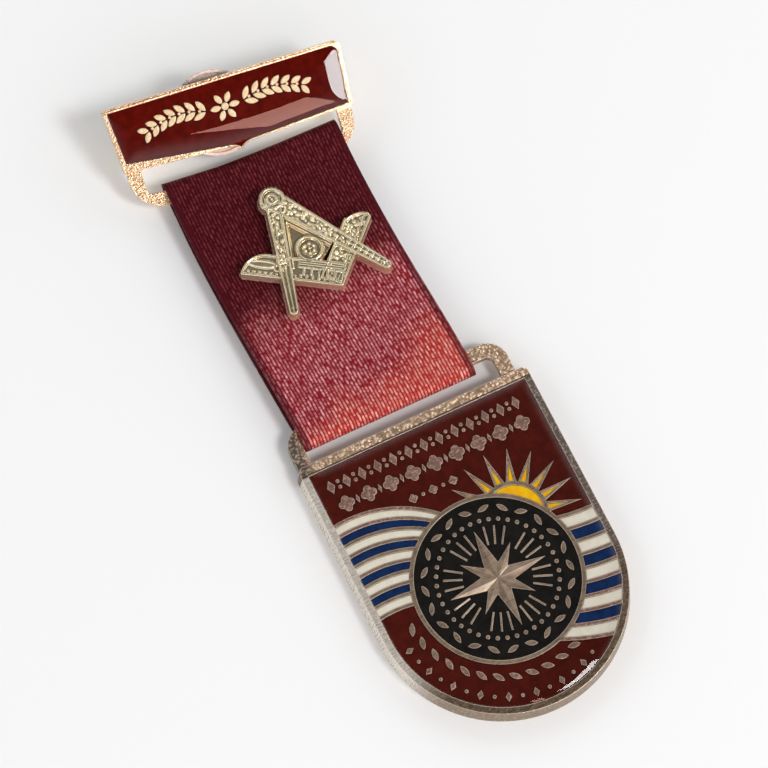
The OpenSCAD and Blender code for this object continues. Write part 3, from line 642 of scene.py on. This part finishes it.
ribbon = {
    "width": 25.0, "run": 39.0, "lean": 1.8, "pinUp": 23.4, "pinSide": 0.5, "pinHole": 0.85,
    "cloth": 0.42, "foldRadius": 1.0, "foldSteps": 12, "lowFold": 0.13, "lowFoldHeight": 1.72,
    "stripSkew": -8.5, "stripTilt": 28.0, "highFoldHeight": 2.5, "slackLeft": -0.44, "slackRight": 1.5,
    "slackFrom": -4.6, "slackPower": 1.2, "slackUp": 0.25, "lastRise": 0.1, "edgeDroop": 0.3,
    "bend": -0.42, "bendPower": 1.4, "stray": -0.12, "rowStep": 0.33, "columns": 64,
}

# The rear layer lies on the table, and rises to the lower fold and under the bar's strip
rearLayer = {
    "overTable": 0.05, "underStrip": 0.82, "stripReach": 1.7, "stripPower": 1.15, "risesAt": 9.0,
    "risesOver": 7.3, "foldOver": 5.5, "seamAt": 0.34, "overlap": 6.0, "seamGap": 0.06,
    "seamReach": 1.0, "seamOver": 1.5,
}

# Small waves of the front layer: height, lengths across and along, and where the noise is read
clothWaves = [
    {"height": 0.07, "across": 7, "along": 9, "seed": 3.1},
    {"height": 0.03, "across": 2.5, "along": 3.5, "seed": 8.4},
]
uvSpan = 100  # mm of cloth to one unit of the UV map

# Height of the front layer's middle line over the table, by the share of the run from the lower fold
shareColumn = 0
heightColumn = 1
frontLine = [
    (0.0, 2.72), (0.05, 2.90), (0.12, 3.08), (0.24, 3.20), (0.40, 3.20), (0.62, 3.08), (0.90, 3.02),
    (1.0, 3.36),
]


def easeStep(t):
    t = min(1.0, max(0.0, t))
    return t * t * (3 - 2 * t)


# A smooth curve through the table's rows
def alongTable(table, share):
    share = min(1.0, max(0.0, share))
    for i in range(len(table) - 1):
        a, b = table[i], table[i + 1]
        if share <= b[shareColumn]:
            before = table[max(i - 1, 0)]
            after = table[min(i + 2, len(table) - 1)]
            span = b[shareColumn] - a[shareColumn]
            t = (share - a[shareColumn]) / span
            left = max(b[shareColumn] - before[shareColumn], 1e-6)
            right = max(after[shareColumn] - a[shareColumn], 1e-6)
            rise = (b[heightColumn] - before[heightColumn]) / left * span
            fall = (after[heightColumn] - a[heightColumn]) / right * span
            return ((2 * t ** 3 - 3 * t ** 2 + 1) * a[heightColumn] + (t ** 3 - 2 * t ** 2 + t) * rise
                    + (3 * t ** 2 - 2 * t ** 3) * b[heightColumn] + (t ** 3 - t ** 2) * fall)


def highFold(x):
    loose = max(0.0, (x - ribbon["slackFrom"]) / (ribbon["width"] / 2 - ribbon["slackFrom"]))
    slack = ribbon["slackLeft"] + ribbon["slackRight"] * loose ** ribbon["slackPower"]
    y = ribbon["run"] + x * tan(radians(ribbon["stripSkew"])) + slack
    return y, ribbon["highFoldHeight"] + ribbon["slackUp"] * loose


# One lengthways line of the cloth, from the seam round both folds and back to it. Each station has
# its way up the ribbon, its height, its share of the run, and 1 in front, -1 behind or 0 in a fold
def clothLine(x):
    rear = rearLayer
    radius = ribbon["foldRadius"]
    tilt = radians(ribbon["stripTilt"])
    foot = -x * tan(radians(ribbon["lean"])) + ribbon["lowFold"]
    head, headHeight = highFold(x)
    strip = ribbon["run"] + x * tan(radians(ribbon["stripSkew"]))
    table = rear["overTable"] + ribbon["cloth"] / 2
    edge = (2 * x / ribbon["width"]) ** 2
    front = (head - radius * sin(tilt), headHeight + radius * cos(tilt))
    frontRise = front[1] - frontLine[-1][heightColumn]
    back = (head + radius * sin(tilt), headHeight - radius * cos(tilt))

    def rearHeight(y):
        nearStrip = y - strip + rear["stripReach"]
        if nearStrip > 0:
            share = nearStrip / (back[0] - strip + rear["stripReach"])
            return rear["underStrip"] + (back[1] - rear["underStrip"]) * share ** rear["stripPower"]
        up = easeStep((y - strip + rear["risesAt"]) / rear["risesOver"])
        down = easeStep((y - foot) / rear["foldOver"])
        low = ribbon["lowFoldHeight"] - radius
        return max(low + (table - low) * down, table + (rear["underStrip"] - table) * up)

    line = []
    seam = rear["seamAt"] * ribbon["run"]
    count = int(ribbon["run"] / ribbon["rowStep"])
    turns = ribbon["foldSteps"]
    for i in range(count + 1):
        y = seam + rear["overlap"] + (foot - seam - rear["overlap"]) * i / count
        overSeam = easeStep((y - seam + rear["seamReach"]) / rear["seamOver"])
        raised = (ribbon["cloth"] + rear["seamGap"]) * overSeam
        line.append((y, rearHeight(y) + raised, y / ribbon["run"], -1))
    for i in range(1, turns):
        a = 1.5 * pi - pi * i / turns
        line.append((foot + radius * cos(a), ribbon["lowFoldHeight"] + radius * sin(a), 0.0, 0))
    for i in range(count + 1):
        share = i / count
        droop = ribbon["edgeDroop"] * edge * sin(pi * share) ** 2
        rise = frontRise * easeStep((share - 1 + ribbon["lastRise"]) / ribbon["lastRise"])
        height = alongTable(frontLine, share) + rise
        line.append((foot + (front[0] - foot) * share, height - droop, share, 1))
    for i in range(1, turns):
        a = pi / 2 + tilt - pi * i / turns
        line.append((head + radius * cos(a), headHeight + radius * sin(a), 1.0, 0))
    for i in range(count + 1):
        y = back[0] + (seam - back[0]) * i / count
        line.append((y, rearHeight(y), y / ribbon["run"], -1))
    return line


def clothPoint(x, station):
    y, z, share, side = station
    along = min(1.0, max(0.0, share)) ** ribbon["bendPower"]
    slide = ribbon["stray"] + ribbon["bend"] * sin(pi * along)
    if side > 0:
        for wave in clothWaves:
            spot = Vector((x / wave["across"], y / wave["along"], wave["seed"]))
            z += wave["height"] * noise(spot) * sin(pi * share)
    return Vector((x + slide, y, z))


def satinRibbon(material):
    columns = ribbon["columns"]
    lines = []
    for k in range(columns + 1):
        x = (k / columns - 0.5) * ribbon["width"]
        lines.append([clothPoint(x, station) for station in clothLine(x)])
    rows = len(lines[0])
    middle = lines[columns // 2]
    along = [0.0]
    for a, b in zip(middle, middle[1:]):
        along.append(along[-1] + (b - a).length)

    bm = bmesh.new()
    bmesh.ops.create_grid(bm, x_segments=columns, y_segments=rows - 1, size=1.0)
    uvLayer = bm.loops.layers.uv.new("clothWay")
    spots = {}
    for vert in bm.verts:
        k = round((vert.co.x + 1) / 2 * columns)
        i = round((vert.co.y + 1) / 2 * (rows - 1))
        spots[vert] = (k / columns * ribbon["width"] / uvSpan, along[i] / uvSpan)
        vert.co = lines[k][i] * mm
    for face in bm.faces:
        for loop in face.loops:
            loop[uvLayer].uv = spots[loop.vert]
    pinAt = Vector((ribbon["pinSide"], ribbon["pinUp"])) * mm
    pierced = []
    for face in bm.faces:
        spot = face.calc_center_median()
        if (spot.xy - pinAt).length < ribbon["pinHole"] * mm and spot.z > ribbon["lowFoldHeight"] * mm:
            pierced.append(face)
    bmesh.ops.delete(bm, geom=pierced, context="FACES")
    bmesh.ops.recalc_face_normals(bm, faces=bm.faces)

    turn = Matrix.Rotation(radians(ribbon["lean"]), 3, "Z")
    pin = middleOf("emblem_stud")
    foot = Vector((pin.x, pin.y, 0)) - turn @ pinAt.to_3d()
    bmesh.ops.rotate(bm, verts=bm.verts, matrix=turn)
    bmesh.ops.translate(bm, verts=bm.verts, vec=foot)
    piece = meshPiece("ribbon_satin", bm, material)
    thick = piece.modifiers.new("cloth", "SOLIDIFY")
    thick.thickness = ribbon["cloth"] * mm
    thick.offset = 0
    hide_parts("ribbon")
    print("ribbon: flat length", round(along[-1], 1), "mm")


# Painted sheen and shade by place along the ribbon: top colours are painted shade on the upper front and the
# rear layer, mid colours painted sheen below the emblem, low colours brighter painted sheen near the lower
# fold. Shine colours are painted glints on the streaks, and the gap colour is painted shade between the
# threads
satinLook = {
    "topThread": (0.064, 0.0045, 0.008), "topShine": (0.24, 0.040, 0.052),
    "midThread": (0.265, 0.013, 0.020), "midShine": (1.0, 0.44, 0.48),
    "lowThread": (0.50, 0.036, 0.031), "lowShine": (1.0, 0.54, 0.46),
    "selvedge": (0.060, 0.005, 0.009), "selvedgeShare": 0.7, "border": 0.9, "borderFade": (0.1, -0.1),
    "gap": (0.28, 0.28, 0.28), "gapSpan": (0.0, 0.8), "columnPitch": 0.45, "rowPitch": 1.6,
    "beat": 0.05, "arch": 0.024, "round": 0.020, "metallic": 0.25, "roughness": 0.40,
    "specular": 0.15, "specularTint": (1.0, 0.45, 0.45), "frontFrom": 22.5, "behind": (-0.02, -0.14),
    "paintedSheenFade": (0.36, 0.60), "paintedFoldSheen": (0.15, 0.0), "slant": 0.16, "drift": 0.3, "driftScale": 0.11,
}

# How the streaks of the weave are drawn; satin() gives them painted glint colours
streakDrawing = {
    "wobbleScale": 0.4, "wobble": (0.10, 0.1, 0), "threadStep": 3.7, "rowStep": 1.9, "halfDrop": 0.5,
    "level": (0.34, 0.70), "glintScale": 3.2, "glint": (0.34, 0.64, 0.35, 1.0), "crown": (0.30, 1.0),
}


def weaveGroup():
    draw = streakDrawing
    group, given, out = newGroup("satinWeave", [
        ("Way", "Vector", (0, 0, 0)), ("Column", "Float", 0.4), ("Row", "Float", 1.6),
        ("Beat", "Float", 0.1),
    ], [("Streak", "Float"), ("Round", "Float")])
    wobble = noiseNode(group, given["Way"], draw["wobbleScale"], 1.0)["Color"]
    shift = vectorNode(group, "MULTIPLY", wobble, draw["wobble"])
    shaken = vectorNode(group, "ADD", given["Way"], shift)
    parts = parted(group, shaken)
    column = mathNode(group, "DIVIDE", parts["X"], given["Column"])
    whole = mathNode(group, "FLOOR", column)
    inColumn = mathNode(group, "SUBTRACT", column, whole)
    across = mathNode(group, "SUBTRACT", product(group, inColumn, 2.0), 1.0)
    rounded = oneMinus(group, product(group, across, across))
    row = mathNode(group, "ADD", mathNode(group, "DIVIDE", parts["Y"], given["Row"]),
                   product(group, whole, draw["halfDrop"]))
    thread = add(group, "CombineXYZ", {0: product(group, whole, draw["threadStep"]),
                                       1: product(group, row, draw["rowStep"])}).outputs[0]
    uneven = noiseNode(group, thread, 1.0, 3.0, 0.65)["Fac"]
    wave = mathNode(group, "COSINE", product(group, row, 2 * pi))
    level = mathNode(group, "ADD", uneven, product(group, wave, given["Beat"]))
    glint = noiseNode(group, shaken, draw["glintScale"], 1.0)["Fac"]
    streak = product(group, ramp(group, level, *draw["level"]), ramp(group, glint, *draw["glint"]),
                     ramp(group, rounded, *draw["crown"]))
    group.links.new(streak, out["Streak"])
    group.links.new(rounded, out["Round"])
    return group


def satin():
    look = satinLook
    width = ribbon["width"]
    material, tree = newMaterial("satin")
    inMm = scaled(tree, add(tree, "UVMap", uv_map="clothWay").outputs[0], uvSpan)
    parts = parted(tree, inMm)
    weave = place(tree, weaveGroup(), {"Way": inMm, "Column": look["columnPitch"], "Row": look["rowPitch"],
                                       "Beat": look["beat"]})
    centred = mathNode(tree, "DIVIDE", mathNode(tree, "SUBTRACT", parts["X"], width / 2), width)
    fromFold = mathNode(tree, "SUBTRACT", parts["Y"], look["frontFrom"])
    share = mathNode(tree, "DIVIDE", fromFold, ribbon["run"])
    slant = mathNode(tree, "SUBTRACT", share, product(tree, centred, look["slant"]))
    drift = noiseNode(tree, inMm, look["driftScale"], 2.0)["Fac"]
    stray = product(tree, mathNode(tree, "SUBTRACT", drift, 0.5), look["drift"])
    waved = mathNode(tree, "ADD", slant, stray)
    # Painted sheen and shade: darker towards the top of the front and on the rear layer, brighter near the
    # lower fold
    behind = ramp(tree, share, *look["behind"])
    upper = mathNode(tree, "MAXIMUM", ramp(tree, waved, *look["paintedSheenFade"]), behind)
    lower = product(tree, ramp(tree, waved, *look["paintedFoldSheen"]), oneMinus(tree, behind))
    fromMiddle = product(tree, mathNode(tree, "ABSOLUTE", centred), width)
    fromEdge = mathNode(tree, "SUBTRACT", width / 2, fromMiddle)
    border = fadeFrom(tree, fromEdge, look["border"], look["borderFade"])

    # Picks the painted shade or painted sheen colour for each place along the ribbon
    def paintedSheenTone(kind):
        tone = mix(tree, upper, look["mid" + kind], look["top" + kind])
        return mix(tree, lower, tone, look["low" + kind])

    thread = paintedSheenTone("Thread")
    # Painted shade between the threads
    between = mix(tree, 1.0, thread, look["gap"], blend="MULTIPLY")
    body = mix(tree, ramp(tree, weave["Round"], *look["gapSpan"]), between, thread)
    # Painted glints on the streaks of the weave
    tone = mix(tree, weave["Streak"], body, paintedSheenTone("Shine"))
    tone = mix(tree, product(tree, border, look["selvedgeShare"]), tone, look["selvedge"])
    shine = product(tree, weave["Streak"], look["metallic"])
    height = mathNode(tree, "ADD", product(tree, weave["Streak"], look["arch"]),
                      product(tree, weave["Round"], look["round"]))
    bump = add(tree, "Bump", {"Height": height, "Distance": mm}).outputs[0]
    shader = add(tree, "BsdfPrincipled", {
        "Base Color": tone, "Metallic": shine, "Roughness": look["roughness"], "Normal": bump,
        "Specular IOR Level": look["specular"], "Specular Tint": look["specularTint"],
    })
    add(tree, "OutputMaterial", {"Surface": shader.outputs[0]})
    return material


# The cast emblem: compasses over a square, drawn as one relief

emblem = {
    "base": 3.6, "turn": 11.0, "tilt": 1.0, "top": 1.9, "armTop": 1.45, "corner": (0.4, -6.75),
    "armWidth": 3.2, "squareEnd": 1.9, "tip": 1.15, "rim": 0.34, "rimLap": 0.35, "sink": 0.34,
    "draft": 0.22, "edgeDrop": 0.06, "grain": 0.52, "grainHeight": 0.36, "grainSlope": 1.7,
    "post": 0.6, "postFrom": 1.7, "cell": 0.075, "sheet": ((-9.6, -9.0), (9.4, 11.0)), "bare": 0.02,
    "backUnder": 0.001,
}
compassLegs = [
    {
        "inward": 1, "angle": -25.9, "length": 16.6, "width": 2.1,
        "ridgeFrom": 10.2, "ridge": 0.30, "ridgeHalf": 0.22, "ridgeAt": 0.0, "dashes": 0.0,
    },
    {
        "inward": -1, "angle": 22.6, "length": 18.4, "width": 2.8,
        "ridgeFrom": 11.6, "ridge": 0.26, "ridgeHalf": 0.16, "ridgeAt": 0.1, "dashes": 0.10,
    },
]
legRelief = {"above": 0.2, "dashRate": 7.0, "tipReach": 0.5, "tipGrain": 0.3, "tipGrainHeight": 0.3}
squareArms = [
    {"angle": 136.8, "length": 13.6, "side": -1},
    {"angle": 32.6, "length": 11.0, "side": 1},
]

# On an arm, x runs from the corner along it and y from its outer edge inward
armRelief = {
    "stripe": {"from": 0.75, "width": 0.28, "height": 0.3},
    "band": 0.95,
    "ticks": {"rate": 1.25, "share": 0.28, "height": 0.25},
    "beads": {"from": 6.0, "rate": 8.0, "low": 0.36, "width": 0.4, "height": 0.24},
    "leaf": {"from": 8.4, "middle": (10.9, 1.75), "half": (2.0, 0.62), "height": 0.42},
    "curl": {"middle": (8.9, 1.45), "radius": 0.38, "half": 0.16, "height": 0.26},
    "bars": {"to": 6.2, "rate": 0.95, "share": 0.24, "ledge": 1.9, "height": 0.3},
    "cord": {"from": 2.1, "width": 0.8, "height": 0.34},
}
hinge = {
    "up": 8.6, "radius": 1.7, "over": 0.12, "sink": 0.34, "rim": 0.34, "rimWidth": 0.5,
    "ring": 0.30, "ringFrom": 0.42, "ringWidth": 0.42, "knob": 0.34, "knobRadius": 0.3,
}
web = {
    "height": 0.75, "legReach": 10.0, "underLeg": 1.2, "facet": 0.5, "facetLap": 0.1, "facetWidth": 0.7,
    "lip": 0.5, "lipOut": 0.15, "lipWidth": 0.3,
}
flower = {
    "up": 0.1, "radius": 1.85, "draft": 0.12, "sink": 0.55, "rim": 0.42, "rimLap": 0.08, "petals": 6,
    "petalAt": 0.66, "petalRadius": 0.36, "heart": 0.3, "rise": 0.62,
}


# Height across a round bead, 1 on its middle line and 0 at both sides
def bead(inside, width):
    t = inside / width
    return 1 - (2 * t - 1) ** 2 if 0 < t < 1 else 0.0


def peak(away, reach):
    return max(0.0, 1 - away / reach)


def wall(inside, height):
    return height * easeStep(1 + inside / emblem["draft"]) if inside < 0 else height


def rimmed(inside, rim, low, top):
    lap = rim * emblem["rimLap"]
    return low + (top - low) * bead(inside + lap, rim + lap) ** 0.5


def granules(p, size):
    near = voronoi(Vector((p.x / size, p.y / size, 0.5)))[0][0]
    return max(0.0, 1 - near * emblem["grainSlope"])


def hingeHeight(p):
    away = (p - Vector((0, hinge["up"]))).length
    inside = hinge["radius"] - away
    if inside < -emblem["draft"]:
        return 0.0
    top = emblem["top"] + hinge["over"]
    if inside < 0:
        return wall(inside, top)
    rim = hinge["rim"] * bead(inside, hinge["rimWidth"])
    ring = hinge["ring"] * bead(away - hinge["ringFrom"], hinge["ringWidth"])
    knob = hinge["knob"] * peak(away, hinge["knobRadius"])
    return top - hinge["sink"] + rim + ring + knob


def legWay(p, leg):
    turned = Matrix.Rotation(-radians(leg["angle"]), 2) @ (p - Vector((0, hinge["up"])))
    return turned, -turned.y


def legHalf(leg, share):
    return leg["width"] / 2 + (emblem["tip"] - leg["width"]) / 2 * min(1.0, max(0.0, share))


def legHeight(p, leg):
    turned, down = legWay(p, leg)
    tip = emblem["tip"] / 2
    end = leg["length"] - tip
    if down < -legRelief["above"]:
        return 0.0
    half = legHalf(leg, down / end)
    if down > end:
        inside = tip - Vector((turned.x, down - end)).length
    else:
        inside = half - abs(turned.x)
    if inside < -emblem["draft"]:
        return 0.0
    top = emblem["top"]
    if inside < 0:
        return wall(inside, top - emblem["edgeDrop"])
    low = top - emblem["sink"]
    rim = emblem["rim"] * min(1.0, half)
    if inside < rim:
        height = rimmed(inside, rim, low, top)
    elif down > leg["ridgeFrom"]:
        dashes = leg["dashes"] * max(0.0, sin(down * legRelief["dashRate"]))
        height = low + leg["ridge"] * peak(abs(turned.x - leg["ridgeAt"]), leg["ridgeHalf"]) + dashes
    else:
        height = low + emblem["grainHeight"] * granules(turned, emblem["grain"])
    if down > end - legRelief["tipReach"]:
        height = max(height, low + legRelief["tipGrainHeight"] * granules(turned, legRelief["tipGrain"]))
    return height


def rightArmRelief(p, y):
    stripe = armRelief["stripe"]
    grain = emblem["grainHeight"] * granules(p, emblem["grain"])
    return max(stripe["height"] * bead(y - stripe["from"], stripe["width"]), grain)


def leftArmRelief(x, y):
    ticks, beads, bars, cord = (armRelief[kind] for kind in ("ticks", "beads", "bars", "cord"))
    leaf, curl = armRelief["leaf"], armRelief["curl"]
    if y < armRelief["band"]:
        if x > beads["from"]:
            across = bead(y - beads["low"], beads["width"])
            return beads["height"] * max(0.0, sin(x * beads["rate"])) * across
        return ticks["height"] if (x * ticks["rate"]) % 1.0 < ticks["share"] else 0.0
    if x > leaf["from"]:
        fromLeaf = [(a - b) / half for a, b, half in zip((x, y), leaf["middle"], leaf["half"])]
        swell = max(0.0, 1 - fromLeaf[0] ** 2 - fromLeaf[1] ** 2) ** 0.5
        fromCurl = abs((Vector((x, y)) - Vector(curl["middle"])).length - curl["radius"])
        return max(leaf["height"] * swell, curl["height"] * peak(fromCurl, curl["half"]))
    if x < bars["to"]:
        if y < cord["from"]:
            onBar = (x * bars["rate"]) % 1.0 < bars["share"] or y > bars["ledge"]
            return bars["height"] if onBar else 0.0
        return cord["height"] * bead(y - cord["from"], cord["width"])
    return 0.0


def armHeight(p, arm):
    turned = Matrix.Rotation(-radians(arm["angle"]), 2) @ (p - Vector(emblem["corner"]))
    x, y = turned.x, turned.y * arm["side"]
    width = emblem["armWidth"]
    straight = arm["length"] - width
    inside = min(x, y, width - y)
    if x > straight:
        inside = min(y, width - Vector((x - straight, y)).length)
        if arm["side"] > 0:
            inside = max(inside, min(y, width - y, arm["length"] - emblem["squareEnd"] - x))
    if inside < -emblem["draft"]:
        return 0.0
    top = emblem["armTop"]
    if inside < 0:
        return wall(inside, top - emblem["edgeDrop"])
    low = top - emblem["sink"]
    if inside < emblem["rim"]:
        return rimmed(inside, emblem["rim"], low, top)
    return low + (rightArmRelief(turned, y) if arm["side"] > 0 else leftArmRelief(x, y))


def webHeight(p):
    distances = []
    for leg in compassLegs:
        turned, down = legWay(p, leg)
        if down < 0 or down > web["legReach"]:
            return 0.0
        distances.append(turned.x * leg["inward"] - legHalf(leg, down / leg["length"]))
    nearest = min(distances)
    if nearest < -web["underLeg"]:
        return 0.0
    away = (p - Vector((0, flower["up"]))).length
    facet = web["facet"] * bead(nearest + web["facetLap"], web["facetWidth"])
    lip = web["lip"] * bead(flower["radius"] + web["lipOut"] - away, web["lipWidth"])
    return web["height"] + max(facet, lip)


def flowerHeight(p):
    off = p - Vector((0, flower["up"]))
    inside = flower["radius"] - off.length
    if inside < -flower["draft"]:
        return 0.0
    top = emblem["armTop"]
    if inside < 0:
        return wall(inside, top)
    low = top - flower["sink"]
    height = low
    if inside < flower["rim"]:
        lap = flower["rimLap"]
        height = low + flower["sink"] * bead(inside + lap, flower["rim"] + lap) ** 0.6
    step = 2 * pi / flower["petals"]
    turn = step * round(off.angle_signed(Vector((1, 0)), 0.0) / step)
    petal = off - Vector((cos(turn), sin(turn))) * flower["petalAt"]
    swell = max(peak(petal.length, flower["petalRadius"]), peak(off.length, flower["heart"]))
    return max(height, low + flower["rise"] * swell ** 0.5)


def reliefHeight(p):
    heights = [legHeight(p, leg) for leg in compassLegs] + [armHeight(p, arm) for arm in squareArms]
    return max(*heights, hingeHeight(p), webHeight(p), flowerHeight(p))


def castEmblem(material):
    low, high = (Vector(corner) for corner in emblem["sheet"])
    steps = [round(span / emblem["cell"]) for span in high - low]
    bm = bmesh.new()
    bmesh.ops.create_grid(bm, x_segments=steps[0], y_segments=steps[1], size=0.5)
    for vert in bm.verts:
        share = vert.co.xy + Vector((0.5, 0.5))
        p = low + share * (high - low)
        vert.co = (p.x * mm, p.y * mm, reliefHeight(p) * mm)
    bare = [f for f in bm.faces if max(v.co.z for v in f.verts) < emblem["bare"] * mm]
    bmesh.ops.delete(bm, geom=bare, context="FACES")
    rims = [edge for edge in bm.edges if edge.is_boundary]
    for vert in {v for edge in rims for v in edge.verts}:
        vert.co.z = 0
    back = bmesh.ops.extrude_edge_only(bm, edges=rims)["geom"]
    lowest = [v for v in back if isinstance(v, bmesh.types.BMVert)]
    bmesh.ops.translate(bm, verts=lowest, vec=(0, 0, -emblem["backUnder"] * mm))
    bmesh.ops.holes_fill(bm, edges=[edge for edge in bm.edges if edge.is_boundary])
    pin = middleOf("emblem_stud")
    onCloth = Matrix.Translation((pin.x, pin.y, emblem["base"] * mm))
    withRibbon = Matrix.Rotation(radians(ribbon["lean"]), 4, "Z")
    lean = Matrix.Rotation(radians(emblem["tilt"]), 4, "X")
    turn = Matrix.Rotation(radians(emblem["turn"] - ribbon["lean"]), 4, "Z")
    bmesh.ops.transform(bm, matrix=onCloth @ withRibbon @ lean @ turn, verts=bm.verts)
    length = (emblem["base"] - emblem["postFrom"]) * mm
    radius = emblem["post"] * mm
    at = Matrix.Translation((pin.x, pin.y, emblem["postFrom"] * mm + length / 2))
    bmesh.ops.create_cone(bm, cap_ends=True, segments=32, radius1=radius, radius2=radius, depth=length,
                          matrix=at)
    piece = meshPiece("emblem_relief", bm, material)
    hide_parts("emblem")


# Floor, world and lights

def studioFloor():
    bm = bmesh.new()
    bmesh.ops.create_grid(bm, x_segments=2, y_segments=2, size=studio["floorSize"] / 2)
    mesh = bpy.data.meshes.new("floor")
    bm.to_mesh(mesh)
    bm.free()
    material, tree = newMaterial("paper")
    paper = add(tree, "BsdfPrincipled", {"Base Color": studio["floorColour"], "Roughness": 0.9})
    add(tree, "OutputMaterial", {"Surface": paper.outputs[0]})
    mesh.materials.append(material)
    floor = newObject("floor", mesh)


def studioLight():
    world = bpy.data.worlds.new("studio")
    bpy.context.scene.world = world
    world.use_nodes = True
    tree = world.node_tree
    tree.nodes.clear()
    height = parted(tree, add(tree, "TexCoord").outputs["Generated"])["Z"]
    glow = ramp(tree, height, studio["horizonEnds"], studio["zenithStarts"], studio["horizonLight"],
                studio["zenithLight"])
    background = add(tree, "Background", {"Color": (1, 1, 1), "Strength": glow})
    add(tree, "OutputWorld", {"Surface": background.outputs[0]})
    for name, look in panes.items():
        pane(name, look)


studioFloor()
studioLight()
makeCamera()
bpy.context.scene.view_settings.view_transform = "Standard"
print("studio: floor, light and camera")

bronze = metal("shield_bronze", bronzeLook, shieldZones, starFacets)
gilt = metal("gilt_bar", giltLook, barZones)
antique = metal("antique_gold", antiqueLook, wallZones)
steel = metal("clutch_steel", clutchLook)
finishes = {"shield_frame": bronze, "bar_frame": gilt, "emblem_stud": steel, "clutch": steel}
for node, look in enamelLooks.items():
    finishes[node] = enamel(node, {**enamelSurface, **look})
for node, material in finishes.items():
    nodes[node].data.materials.clear()
    nodes[node].data.materials.append(material)
print("finishes:", len(finishes))

clear = clearCoat()
shieldCoat(clear)
barCoat(clear)
print("clear coats")
satinRibbon(satin())
print("ribbon")
castEmblem(antique)
print("emblem")
